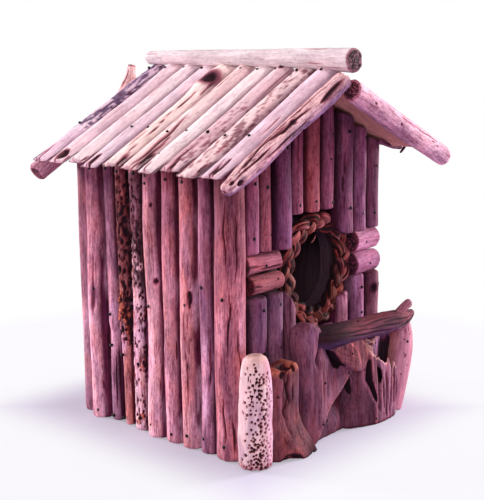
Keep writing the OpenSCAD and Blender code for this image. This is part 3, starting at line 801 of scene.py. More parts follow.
def front_rows(level, seed, tones, styles, end_style, heights, across):
    """The rows of upright front sticks above or below the ring, counted from left to right"""
    ring_lo, ring_hi = span("braid_ring")
    index = 0
    for name in ("left", "middle", "right"):
        node = f"front_{level}_{name}_sticks"
        made = []
        for points in in_rows(solids(node), ALONG_X):
            lo, hi = points.min(0), points.max(0)
            touches = name != "middle" and hi[0] > ring_lo[0] and lo[0] < ring_hi[0]
            base, alt = tones[index]
            style = {"tint": base, "alt": alt, "chew": (0.4, 0.3), "round_ends": (1.2, 0.8),
                     "dark_ends": (0.3, 0.2), "around": 48, "pitch": 1.6, "grime": 0.8, "rough": 1.2,
                     "dim": -0.2, **end_style(index, lo, hi, touches), **styles.get(index, {})}
            part = upright(points, FRONT_SIDE, ALONG_X, seed + index, **style)
            # Painted highlight: a pale strip down the right edge of the last front stick, as if lit from
            # the right
            if index == LAST_FRONT_STICK:
                daub(part, RIM_HIGHLIGHT, ease(hi[0] - 3.4, hi[0] - 2.2, part["co"][:, 0]))
            made.append(part)
            for j, z in enumerate(heights.get(index, ())):
                face_nail("front_wall_nails", points, ALONG_X, FRONT_SIDE, z, across=across(index, j))
            index += 1
        put(f"front_{level}_{name}_driftwood", made, [node], FRONT)


def upper_front():
    tones = [(tone(168, 96, 122), tone(140, 80, 112)), (tone(184, 104, 108), tone(160, 88, 104)),
             (tone(116, 68, 104), tone(92, 52, 88)), (tone(168, 96, 116), tone(140, 76, 100)),
             (tone(190, 98, 90), tone(170, 84, 84)), (tone(152, 84, 106), tone(128, 70, 96)),
             (tone(110, 60, 88), tone(86, 46, 76)), (tone(142, 88, 122), tone(116, 72, 108)),
             (tone(96, 50, 70), tone(74, 38, 60))]
    holes = ((10, 14), (22, 22), (6, 34), (30, 40), (14, 56))
    styles = {1: {"cracks": [(62, 2, 26, 0.8, 1.4)]}, 6: {"cracks": [(-30, 20, 60, 0.4, 0.6)]},
              4: {"pits": [(angle, place, 0.45, 0.6, 1.2) for angle, place in holes]}}
    heights = {0: (140.9, 175.4), 1: (141.2, 171.9), 2: (141.8, 196), 3: (156.9, 208), 4: (158, 216),
               5: (155.4, 184.7, 200.9), 6: (150, 201.9), 7: (144.3, 196.4), 8: (143, 176)}

    def end_style(index, lo, hi, touches):
        return {"foot": lambda x: beside_ring(x, lo[2], 1)} if touches else {}

    front_rows("upper", 101, calmed(tones, tone(168, 102, 138), 0.3), styles, end_style, heights,
               lambda index, j: (index * 3 + j * 2) % 4 - 1)


def lower_front():
    tones = [(tone(124, 74, 112), tone(98, 60, 100)), (tone(112, 66, 100), tone(92, 56, 92)),
             (tone(150, 88, 110), tone(124, 70, 96)), (tone(120, 66, 90), tone(96, 52, 80)),
             (tone(116, 64, 88), tone(96, 52, 80)), (tone(140, 80, 104), tone(120, 66, 92)),
             (tone(186, 112, 134), tone(160, 92, 118)), (tone(142, 84, 124), tone(120, 70, 110)),
             (tone(116, 56, 66), tone(90, 44, 60))]
    tones = calmed(tones[:3], tone(84, 44, 58), 0.55) + calmed(tones[3:], tone(152, 90, 114), 0.35)
    styles = {2: {"chew": (0.3, 1.2), "rough": 1.6}, 8: {"knots": [(-20, 89.6, 4.4)]}}
    heights = {0: (95, 66), 1: (95.6, 66.9), 7: (91.8, 74), 8: (92,)}

    def end_style(index, lo, hi, touches):
        head = lambda x: beside_ring(x, hi[2], -1) if touches else np.full_like(x, hi[2])
        if index == 2:
            head = lambda x: np.minimum(hi[2], hi[2] - 1.25 * (x - lo[0] - 2))
        return {"head": head, "round_ends": (1.0, 1.4)}

    front_rows("lower", 131, tones, styles, end_style, heights, lambda index, j: 1.5)


def round_axis(node, toward):
    """Ends and radii of a node's round stick, from its CAD corners; its second end is the one toward."""
    points = solids(node)[0]
    mid = (points.min(0) + points.max(0)) / 2
    axis = np.linalg.svd(points - points.mean(0), full_matrices=False)[2][0]
    axis = axis if axis @ toward > 0 else -axis
    along = (points - mid) @ axis
    off = np.linalg.norm(points - mid - along[:, None] * axis, axis=1)
    lo, hi = along.min(), along.max()
    return mid + axis * lo, mid + axis * hi, off[along < lo + 3].max(), off[along > hi - 3].max()


def short_logs():
    """The logs beside the ring: colours, nail places, seed, size and drop against the CAD, style"""
    data = {
        "left_upper_log": (
            tone(160, 90, 106), tone(126, 68, 86), [(-41.0, 121.9)], 151, 1, 0,
            {"rough": 1.9, "chew": (0.7, 2.2), "round_ends": (0.9, 3.4),
             "cracks": [(30, 12, 34, 0.9, 1.2), (60, 6, 20, 0.6, 0.8)]}),
        "left_lower_log": (
            tone(164, 92, 100), tone(130, 70, 84), [(-40.7, 108.4), (-32.4, 105.9)], 152, 1, 0,
            {"cracks": [(5, 0, 9, 0.5, 1.0)], "knots": [(-20, 24, 1.2)]}),
        "right_upper_log": (tone(202, 134, 162), tone(168, 102, 136), [(59.9, 123.6)], 153, 1.12, 0, {}),
        "right_lower_log": (tone(176, 112, 146), tone(146, 86, 120), [(64.5, 107.6)], 154, 1.12, 0.8, {}),
    }
    common = {"around": 64, "pitch": 0.8, "bend": 0.2, "chew": (0.7, 0.5), "round_ends": (0.9, 1.6),
              "dark_ends": (1.5, 0.2), "squash": 0.05}
    for node, (base, alt, spots, seed, size, drop, style) in data.items():
        a, b, r0, r1 = round_axis(node, ALONG_X)
        a, b, r0, r1 = a - (0, 0, drop), b - (0, 0, drop), size * r0, size * r1
        part = limb([a, b], (r0, r1), FRONT_SIDE, seed, base, alt, **{**common, **style})
        put(f"{node}_driftwood", [part], [node], LOG)
        mid, r = (a + b) / 2, max(r0, r1)
        for x, z in spots:
            lift = max(-0.9, min(0.9, (z - mid[2]) / r))
            out = np.array([0, -math.sqrt(1 - lift * lift), lift])
            nail("front_wall_nails", np.array([x, mid[1], mid[2]]) + out * (r - 0.1), out, 0.8)


ROOF_STYLES = {
    0: {"chew": (1.6, 0.4), "cracks": [(20, 2, 20, 0.5, 0.8)]},
    1: {"rough": 1.5, "bark": [(0.08, 0.5, tone(150, 96, 108), (1.5, 1.5, 5), 0, 140)],
        "cracks": [(-40, 20, 90, 0.6, 1.0)]},
    2: {"rough": 1.4, "bark": [(0.12, 0.4, tone(160, 104, 116), (1.4, 1.4, 4.5), 10, 80)],
        "cracks": [(-58, 6, 100, 0.9, 1.6), (10, 2, 26, 0.8, 1.6)], "chew": (2.0, 0.4),
        "knots": [(10, 118, 2.6)]},
    3: {"bend": 0.6},
    4: {"cracks": [(18, 0, 62, 1.0, 1.9), (-14, 40, 110, 0.5, 0.8), (38, 2, 40, 0.7, 1.2)],
        "chew": (1.8, 0.4), "dark_ends": (0.9, 0.1)},
    5: {"knots": [(14, 103, 10.0), (0, 121, 1.6)], "pits": [(14, 103, 3.0, 1.6, 1.4)],
        "cracks": [(24, 10, 90, 0.4, 0.6), (-30, 60, 96, 0.5, 0.7)]},
    6: {"bend": 0.5},
    7: {"cracks": [(-30, 50, 78, 0.5, 0.8)], "chew": (0.9, 0.3)},
    8: {"pits": [(14, 8, 2.6, 2.6, 2.0)], "chew": (0.9, 0.3)},
    9: {"bark": [(-0.1, 0.6, tone(78, 48, 92), (1.8, 1.8, 6), 40, 130)], "chew": (1.6, 0.4), "rough": 1.3},
}
TOP_NAILS = (6.6, 7.4, 7.2, 7.6, 6.6, 6.6, 6.8, 6.6, 7.4, 7.4)


def roof_tones():
    cream, blush = tone(248, 224, 226), tone(242, 210, 216)
    lilac, peach = tone(232, 204, 218), tone(246, 216, 214)
    return [(tone(232, 200, 212), tone(206, 160, 180)), (tone(240, 206, 206), tone(206, 150, 158)),
            (tone(236, 200, 206), tone(196, 140, 154)), (cream, peach), (peach, tone(230, 180, 176)),
            (tone(246, 218, 212), tone(222, 170, 166)), (lilac, blush), (cream, blush), (blush, lilac),
            (tone(236, 206, 220), tone(180, 140, 176))]


def roof(name, side, seed, beyond_top, around, pitch, order):
    """The split sticks of one slope; side is -1 for the left slope and 1 for the right one. beyond_top
    is how far stick i goes past the CAD's top, and order the style and colours that it takes."""
    node = f"{name}_roof_sticks"
    n, down = np.array([side * SIN, 0, COS]), np.array([side * COS, 0, -SIN])
    tones = roof_tones()
    parts = []
    for i, p in enumerate(in_rows(solids(node), ALONG_Y)):
        a, h = p @ down, p @ n
        y, r = (p[:, 1].max() + p[:, 1].min()) / 2, (p[:, 1].max() - p[:, 1].min()) / 2
        lift = h.max() - r
        axis = n * lift + np.array([0, y, 0])
        low, top = down * (a.max() - 0.4) + axis, down * (a.min() - beyond_top(i)) + axis
        style = {"around": around, "pitch": pitch, "bend": 0.7, "chew": (2.0, 0.3),
                 "round_ends": (3.0, 1.6), "dark_ends": (0.7, 0.1), "rough": 1.3, "blotch": 0.5,
                 "grime": 0.7, "stain": 0.35, "dim": 0.08, **ROOF_STYLES[order(i)]}
        rng = np.random.default_rng(500 + i)
        splits = [(rng.uniform(-35, 60), 0, rng.uniform(7, 22), rng.uniform(0.45, 0.8),
                   rng.uniform(0.8, 1.5)) for _ in range(3)]
        style["cracks"] = style.get("cracks", []) + splits
        thin, under = r - 2.6, h.min() - lift
        base, alt = tones[order(i)]
        parts.append(limb([low, top], (r, r * 1.02, r, r * 0.98, r, r * 0.98), n, seed + i, base, alt,
                          flat=(thin, thin - 0.6, under + 0.6) + (under,) * 7, **style))
        for x, off in ((73 + 1.5 * math.sin(i * 2), 1.2 * math.sin(i * 3)), (TOP_NAILS[i], math.sin(i))):
            along = (x - (lift + r) * SIN) / COS
            at = down * along + n * (lift + r + 0.15) + np.array([0, y + off, 0])
            nail(f"{name}_roof_nails", at, n, 1.05)
    put(f"{name}_roof_driftwood", parts, [node], BLEACHED)


def roofs():
    roof("left", -1, 171, lambda i: 7.6 + math.sin(2.7 * i), 48, 1.3, lambda i: i)
    n, down = np.array([-SIN, 0, COS]), np.array([-COS, 0, -SIN])
    p = in_rows(solids("left_roof_sticks"), ALONG_Y)[3]
    h, y = (p @ n).max(), (p[:, 1].max() + p[:, 1].min()) / 2
    nail("left_roof_nails", down * ((95 - h * SIN) / COS) + n * (h - 0.1) + np.array([0, y + 2, 0]), n, 0.8)
    roof("right", 1, 191, lambda i: -0.2, 44, 1.8, lambda i: (i * 3 + 4) % 10)


def ridge():
    """The ridge log, slimmer than the CAD's behind its front end, with its top in line"""
    a, b, r0, r1 = round_axis("ridge_log", ALONG_Y)
    slimming = np.array([1.04, 0.96, 0.88, 0.86, 0.85, 0.86, 0.85, 0.84, 0.85])
    t = np.linspace(0, 1, len(slimming))
    full = mix(r0, r1, t)
    path = a + (b - a) * t[:, None] + np.array([0, 0, 0.8]) * (full * (1 - slimming))[:, None]
    part = limb(path, full * slimming, (0, 0, 1), 211, tone(214, 196, 198), tone(206, 182, 186),
                around=72, pitch=1.4, bend=0.25, chew=(0.9, 0.6), round_ends=(1.2, 2.6),
                dark_ends=(1.2, 0.1), stain=0.2, cracks=[(60, 4, 26, 0.5, 0.6), (80, 60, 150, 0.4, 0.5)])
    put("ridge_driftwood", [part], ["ridge_log"], BLEACHED)


def put_rake(name, parts):
    put(f"{name}_driftwood", parts, [name], RAKE)


def front_left_rake():
    a, b, r0, _ = round_axis("front_left_rake", (0, 0, 1))
    rise = np.array([-SIN, 0, COS])
    low, top = a + unit(a - b) * 3.4 + rise * 1.2, b + rise
    radii = [r0 * k for k in (0.5, 0.7, 0.76, 0.74, 0.72, 0.72, 0.75, 0.74, 0.7)]
    cracks = [(12, 90, 118, 1.5, 2.6), (-24, 12, 60, 0.7, 1.2), (10, 4, 44, 0.6, 1.0),
              (-6, 44, 84, 0.8, 1.4), (40, 30, 80, 0.6, 0.9), (-40, 60, 110, 0.6, 1.0)]
    part = limb([low, top], radii, unit((-SIN, -0.9, COS)), 221, tone(220, 170, 178), tone(164, 114, 134),
                around=72, pitch=1.2, bend=0.6, rough=1.9, chew=(1.2, 0.6), round_ends=(2.4, 2.2),
                dark_ends=(0.5, 0.35), blotch=0.9, stain=0.9, cracks=cracks, knots=[(-4, 66, 2.8)],
                pits=[(0, 6, 1.2, 1.2, 1.2), (44, 10, 1.5, 1.5, 1.5)],
                bark=[(0.1, 0.7, tone(112, 70, 86), (3, 3, 12), 0, 130)])
    # Painted light: the upper side is lightened to cream as a painted highlight and the underside darkened
    # to lilac as painted shade
    height = (part["co"] - a) @ rise - 1.1
    daub(part, tone(240, 196, 196), 0.6 * ease(0.8, 3.2, height))
    daub(part, tone(128, 88, 136), 0.75 * ease(0.4, -2.6, height))
    put_rake("front_left_rake", [part])


def front_right_rake():
    """With the torn twigs that hang below it"""
    a, b, r0, r1 = round_axis("front_right_rake", (0, 0, -1))
    pits = [(8, 20, 0.7, 0.8, 1.2), (14, 52, 0.8, 1.0, 1.1), (-12, 92, 0.8, 1.0, 1.3),
            (-4, 98, 0.7, 0.9, 1.0), (-20, 40, 0.5, 0.6, 1.5), (-24, 74, 0.5, 0.6, 2.0)]
    main = limb([a, b], (r0, r0 * 1.04, (r0 + r1) / 2, r1 * 0.9), FRONT_SIDE, 223, tone(230, 178, 192),
                tone(196, 138, 160), around=72, pitch=1.2, bend=0.5, rough=0.9, chew=(1.8, 0.5),
                round_ends=(1.2, 4.5), dark_ends=(0.9, 0.25), blotch=0.7, squash=0.06, pits=pits,
                cracks=[(-30, 70, 104, 0.5, 0.7)])
    torn = {"around": 24, "pitch": 0.8, "bend": 0.2, "chew": (0.4, 0.6), "round_ends": (0.8, 0.8)}
    long_twig = limb([(70, -80, 193.4), (86, -80, 189.0), (98, -80, 186.6)], (1.5, 1.8, 2.0, 1.3),
                     FRONT_SIDE, 231, tone(120, 66, 92), tone(70, 32, 52), cracks=[(0, 2, 26, 0.6, 0.8)],
                     **torn)
    hook = limb([(94.5, -80, 190.2), (102, -80, 187.2), (96.5, -80, 182.6)], (0.9, 1.1, 0.9, 0.6),
                FRONT_SIDE, 233, tone(80, 38, 60), tone(50, 24, 38), **torn)
    put_rake("front_right_rake", [main, long_twig, hook])


def back_rakes():
    """The right one in its CAD place, and the left one as its mirror, with a broken twig at the top"""
    a, b, r0, r1 = round_axis("back_right_rake", (0, 0, 1))
    common = {"around": 60, "pitch": 1.6, "rough": 1.2, "chew": (0.9, 0.5), "round_ends": (2.4, 1.6),
              "blotch": 0.8, "dark_ends": (0.6, 0.3)}
    part = limb([a, b], (r0, r1), unit((SIN, 0.6, COS)), 225, tone(176, 112, 130), tone(140, 82, 104),
                cracks=[(20, 30, 70, 0.5, 0.8)], **common)
    put_rake("back_right_rake", [part])
    lo, hi = span("back_left_rake")
    right_lo, right_hi = span("back_right_rake")
    shift = np.array([0, (lo[1] + hi[1] - right_lo[1] - right_hi[1]) / 2, 0])
    a, b = a * (-1, 1, 1) + shift, b * (-1, 1, 1) + shift
    part = limb([a, b], (r0, r1), unit((-SIN, 0.6, COS)), 227, tone(206, 148, 164), tone(164, 106, 128),
                knots=[(0, 2.5, 1.2)], **common)
    tip = np.array([b[0] - 4.0, b[1], hi[2] - 0.5])
    foot = b + (a - b) * 0.09
    twig = limb([foot + np.array([-1.5, 0, -2]), mix(foot, tip, 0.5), tip], (8.0, 7.0, 5.2, 3.2, 2.6), LEFT,
                229, tone(240, 196, 196), tone(214, 160, 164), around=40, pitch=0.8, bend=0.2,
                chew=(0.2, 0.9), round_ends=(1, 0.5), dark_ends=(0, 1.6), cracks=[(10, 8, 24, 0.5, 0.8)])
    put_rake("back_left_rake", [part, twig])


# ---------- carved blocks ----------

def flat_distance(points, x, z):
    """Distance in the x-z plane to a closed outline, negative inside it"""
    a = np.asarray(points, float)
    b = np.roll(a, -1, 0)
    best = np.full(x.shape, 1e9)
    inside = np.zeros(x.shape, bool)
    for (ax, az), (bx, bz) in zip(a, b):
        ex, ez = bx - ax, bz - az
        t = np.clip(((x - ax) * ex + (z - az) * ez) / max(ex * ex + ez * ez, 1e-9), 0, 1)
        best = np.minimum(best, np.hypot(x - ax - ex * t, z - az - ez * t))
        if az != bz:
            crosses = (az <= z) != (bz <= z)
            inside ^= crosses & (x < ax + (z - az) / (bz - az) * ex)
    return np.where(inside, -best, best)


def outline(points, smooth=True, step=0.5):
    """A quick field f(x, z) of the distance to an outline, curved through its points if smooth"""
    pts = np.asarray(points, float)
    if smooth:
        ring = np.vstack([pts[-2:], pts, pts[:2]])
        pts = curve_points(ring, 6 * len(ring))
        keep = slice(int(len(pts) * 2 / (len(ring) - 1)), int(len(pts) * (len(ring) - 2) / (len(ring) - 1)))
        pts = pts[keep]
    lo, hi = pts.min(0) - 8, pts.max(0) + 8
    xs, zs = np.arange(lo[0], hi[0], step), np.arange(lo[1], hi[1], step)
    table = flat_distance(pts, *np.meshgrid(xs, zs, indexing="ij"))

    def field(x, z):
        u = np.clip((x - lo[0]) / step, 0, len(xs) - 1.001)
        v = np.clip((z - lo[1]) / step, 0, len(zs) - 1.001)
        i, j = u.astype(int), v.astype(int)
        f, g = u - i, v - j
        return (mix(mix(table[i, j], table[i + 1, j], f), mix(table[i, j + 1], table[i + 1, j + 1], f), g))

    return field


def roughened(f, p, relief):
    """A field f at points p with relief added near its surface"""
    near = np.abs(f) < 3
    f = f.copy()
    f[near] += relief(p[near])
    return f


def both(a, b, r):
    """Common part of two fields with its edge rounded by r"""
    return np.minimum(-r, np.maximum(a, b)) + np.hypot(np.maximum(a + r, 0), np.maximum(b + r, 0))


def joined(a, b, r):
    """Two fields run together with a fillet of about r"""
    h = np.clip(0.5 + 0.5 * (b - a) / r, 0, 1)
    return b * (1 - h) + a * h - r * h * (1 - h)


def without(a, b, r=0.6):
    return both(a, -b, r)


def skin(field, lo, hi, cell):
    """Closed quad surface where a field, negative inside, is zero (surface nets)"""
    axes = [np.arange(a - 2.5 * cell, b + 2.5 * cell, cell) for a, b in zip(lo, hi)]
    p = np.stack(np.meshgrid(*axes, indexing="ij"), -1)
    f = field(p)
    for k in range(3):
        f = np.moveaxis(f, k, 0)
        f[0], f[-1] = np.abs(f[0]) + 0.1, np.abs(f[-1]) + 0.1
        f = np.moveaxis(f, 0, k)
    inside = f < 0
    shape = np.array(f.shape) - 1
    total, count = np.zeros((*shape, 3)), np.zeros(shape)
    crossings = []
    for k in range(3):
        a, b = np.moveaxis(f, k, 0)[:-1], np.moveaxis(f, k, 0)[1:]
        change = (a < 0) != (b < 0)
        t = np.where(change, a / np.where(change, a - b, 1), 0)
        change, t = np.moveaxis(change, 0, k), np.moveaxis(t, 0, k)
        crossings.append(change)
        others = [m for m in range(3) if m != k]
        for u in (0, 1):
            for v in (0, 1):
                cut = [slice(None)] * 3
                cut[others[0]] = slice(u, shape[others[0]] + u)
                cut[others[1]] = slice(v, shape[others[1]] + v)
                here = change[tuple(cut)]
                count += here
                total[..., k] += here * t[tuple(cut)]
                total[..., others[0]] += here * u
                total[..., others[1]] += here * v
    used = count > 0
    number = np.full(shape, -1)
    number[used] = np.arange(used.sum())
    corner = np.stack(np.nonzero(used), -1)
    co = np.array([a[0] for a in axes]) + cell * (corner + total[used] / count[used][:, None])
    quads = []
    for k in range(3):
        u, v = (k + 1) % 3, (k + 2) % 3
        where = np.stack(np.nonzero(crossings[k]), -1)
        a, b = where[:, u], where[:, v]
        where = where[(a > 0) & (b > 0) & (a < shape[u]) & (b < shape[v])]

        def cell_at(du, dv):
            q = where.copy()
            q[:, u] += du
            q[:, v] += dv
            return number[q[:, 0], q[:, 1], q[:, 2]]

        loop = np.stack([cell_at(-1, -1), cell_at(0, -1), cell_at(0, 0), cell_at(-1, 0)], -1)
        outward = inside[where[:, 0], where[:, 1], where[:, 2]]
        quads.append(np.where(outward[:, None], loop, loop[:, ::-1]))
    return co, np.vstack(quads)


def carved(field, lo, hi, paint, seed, cell=0.66):
    """A part from a field; paint(p, x, y, z, n) gives its tint, dark and cut at points p with normals n."""
    co, quads = skin(field, lo, hi, cell)
    edge = 0.3
    n = np.stack([field(co + d) - field(co - d) for d in np.eye(3) * edge], -1)
    n = unit(n + 1e-9)
    tint, dark, cut = paint(co.copy(), *co.T.copy(), n)
    co[:, 2] = np.maximum(co[:, 2], LOWEST)
    return {"co": co, "faces": quads, "grain": co + np.array([0, 0, 300.0 * seed]),
            "tint": np.clip(0.86 * tint, 0.003, 1), "dark": np.clip(dark, 0, 1), "cut": cut}


def worn(p, seed, size=1.0):
    """Fibrous unevenness of upright driftwood"""
    return size * (0.55 * noise(p, (9, 9, 30), seed) + 0.3 * noise(p, (3.2, 3.2, 26), seed + 1)
                   + 0.16 * noise(p, (1.5, 1.5, 14), seed + 2))


def base_tint(p, seed, colour, alt, share=0.6):
    t = ease(-0.2, 0.45, layered(p, (8, 8, 30), seed, 3)) * share
    c = mix(np.asarray(colour), np.asarray(alt), t[:, None])
    return c * (1 + 0.12 * noise(p, (4, 4, 12), seed + 5))[:, None]


def block_nails(front, places, lean, size):
    """Nails in a block's face y = front(x, z), leaning sideways"""
    for x, z in places:
        nail("front_block_nails", (x, front(x, z) - 0.1, z), (lean, -1, 0.1), size)


def forked_block():
    trunk = outline([(-16, -4), (-19, 10), (-19.5, 26), (-21, 40), (-23.5, 58), (-25, 70), (-22.5, 78.5),
                     (-15, 81.5), (-8, 78.5), (-1.5, 72), (1.5, 64.5), (4.5, 57), (9, 51), (15, 48.5),
                     (24, 47.5), (33, 44), (30, 37), (26, 28.5), (22, 17), (20.8, 8), (22, -4)])
    arm = outline([(3, 60), (10, 63.5), (19, 66.5), (29, 65), (35, 57), (34, 47), (27.5, 41), (17, 45),
                   (9, 51.5)])
    gap = outline([(-2, 62), (2, 60), (6, 55), (10.5, 50.5), (15, 47.6), (11, 45.8), (6, 48), (1.5, 54)],
                  smooth=False)

    def groove_x(z):
        return np.interp(z, (50, 54, 57.5, 64, 72), (-11, -11.8, -12.4, -10, -8))

    def ridge_x(z):
        return np.interp(z, (0, 4, 9.5, 15, 20, 25.7, 30, 34.5, 41.6),
                         (-15, -12, -8.8, -4.5, 1, 9.5, 16.5, 21.5, 30))

    def front(x, z):
        y = -92.4 - 2.8 * hump(x + 8, 9) + 2.2 * ease(58, 80, z) - 1.2 * ease(20, 0, z)
        t = x - ridge_x(z)
        low = ease(42, 35, z)
        y = y + low * (4.6 * ease(-0.8, 2.2, t) - 1.1 * hump(t, 1.3))
        y = y - 4.2 * hump(x - 8, 9, z - 8, 9)
        for at, z0, z1, depth in ((-15.5, 6, 60, 0.6), (-6.5, 20, 56, 0.7), (0.5, 24, 54, 1.2),
                                  (6.5, 30, 50, 0.9), (14, 34, 46, 0.8), (-13, 4, 26, 0.5),
                                  (4, 26, 46, 0.6)):
            drift = 0.8 * np.sin(z / 9 + at)
            y = y + depth * hump(x - at - drift, 1.1) * band(z, z0, z1, 8)
        t = x - groove_x(z)
        y = y + 3.4 * hump(t, 1.5) * ease(47, 56, z) * ease(77, 70, z)
        y = y + 1.6 * ease(0, 5, t) * ease(54, 60, z)
        return y

    def relief(q):
        return worn(q, 301, 0.75) + 0.25 * ease(0.35, 0.7, noise(q, (1.3, 1.3, 20), 305))

    def field(p):
        x, y, z = np.moveaxis(p, -1, 0)
        f = both(trunk(x, z), front(x, z) - y, 4.0)
        face = -99.6 + 0.16 * np.maximum(0, 22 - x) + 0.10 * (z - 54)
        g = both(arm(x, z), face - y, 1.6)
        g = np.maximum(g, y + 84)
        f = joined(f, g, 1.6)
        f = without(f, np.maximum(gap(x, z), y + 86), 0.8)
        f = both(f, y + 80.4, 1.5)
        return np.maximum(roughened(f, p, relief), LOWEST - z)

    def paint(p, x, y, z, n):
        tint = base_tint(p, 311, tone(140, 84, 106), tone(104, 64, 94))
        tint = dab(tint, tone(156, 88, 100),
                   0.6 * ease(0.0, 0.5, layered(p, (7, 7, 18), 313, 3)) * ease(50, 30, z))
        # Painted highlight left of the groove near the top
        tint = dab(tint, tone(196, 120, 140), 0.8 * hump(x + 13.5, 3.2, z - 68, 8))
        tint = dab(tint, tone(116, 74, 116), 0.6 * hump(x + 16, 5, z - 72, 7))
        t = x - ridge_x(z)
        low = ease(42, 35, z)
        # Painted highlight along the ridge's crest, and painted shade in the recess to its right
        tint = dab(tint, tone(192, 122, 142), 0.75 * low * hump(t + 0.6, 1.2) * ease(2, 6, z))
        tint = dab(tint, tone(104, 60, 84), 0.75 * low * ease(0, 2, t) * ease(24, 16, t))
        on_face = ease(0.3, 0.8, -n[:, 1]) * ease(1.0, -1.6, arm(x, z))
        on_face = on_face * ease(-91, -93, y) * ease(42, 45, z)
        fan = np.sin(np.degrees(np.arctan2(z - 44, x - 36)) * 0.9 + 2 * noise(p, (5, 5, 5), 317))
        striped = mix(tone(128, 70, 88), tone(160, 84, 92), (0.5 + 0.5 * fan)[:, None])
        tint = dab(tint, striped, on_face)
        tint = dab(tint, tone(206, 116, 132), on_face * hump(np.hypot(x - 8, z - 46) - 19, 0.7))
        # Painted highlight: an orange-red rim along the arm's lower right edge
        rim = hump(arm(x, z), 1.0) * ease(24, 28, x + 0.35 * (58 - z)) * ease(-92, -95, y)
        tint = dab(tint, tone(226, 128, 96), 0.8 * rim * ease(40, 44, z))
        # Painted shade on faces set back, in the notch, in the groove, at the foot of the ridge's step and
        # along the floor
        dark = 0.7 * ease(-90.5, -86, y) * ease(0.2, 0.8, -n[:, 1])
        dark = dark + 1.2 * ease(1.0, 0.0, gap(x, z)) * ease(-97.5, -95, y)
        dark = dark + 0.7 * hump(x - groove_x(z), 1.1) * ease(50, 57, z) * ease(74, 68, z)
        dark = dark + 0.4 * low * hump(t - 3.4, 2.0) * ease(8, 14, z)
        dark = dark + 0.5 * ease(3, 0, z)
        return tint, dark, 0.6 * on_face

    part = carved(field, (-27, -101.5, 0), (36.5, -80, 83), paint, 3)
    block_nails(front, ((-4.7, 39.5), (23.7, 39.5), (-7.9, 12.1), (1.5, 11.1)), -0.25, 0.85)
    nail("front_block_nails", (18.7, -99.2, 55.4), (-0.3, -1, 0.1), 0.9)
    put("forked_block_driftwood", [part], ["forked_block"], BLOCK)


# Furrows of the gouged block: place, lower and upper end, depth and lean
FURROWS = ((55, 2, 36, 2.6, 0.06), (60.5, 3, 32, 2.6, 0.14), (66, 8, 38, 2.8, 0.17),
           (51.5, 6, 30, 1.9, 0.0), (46.5, 6, 44, 1.8, 0.02), (30, 4, 30, 0.8, 0.1),
           (71, 4, 40, 2.2, 0.15), (35, 6, 24, 0.7, 0.05))


def furrow_x(z, at, lean):
    return at + 0.5 * np.sin(z / 6 + at) + lean * (z - 20)


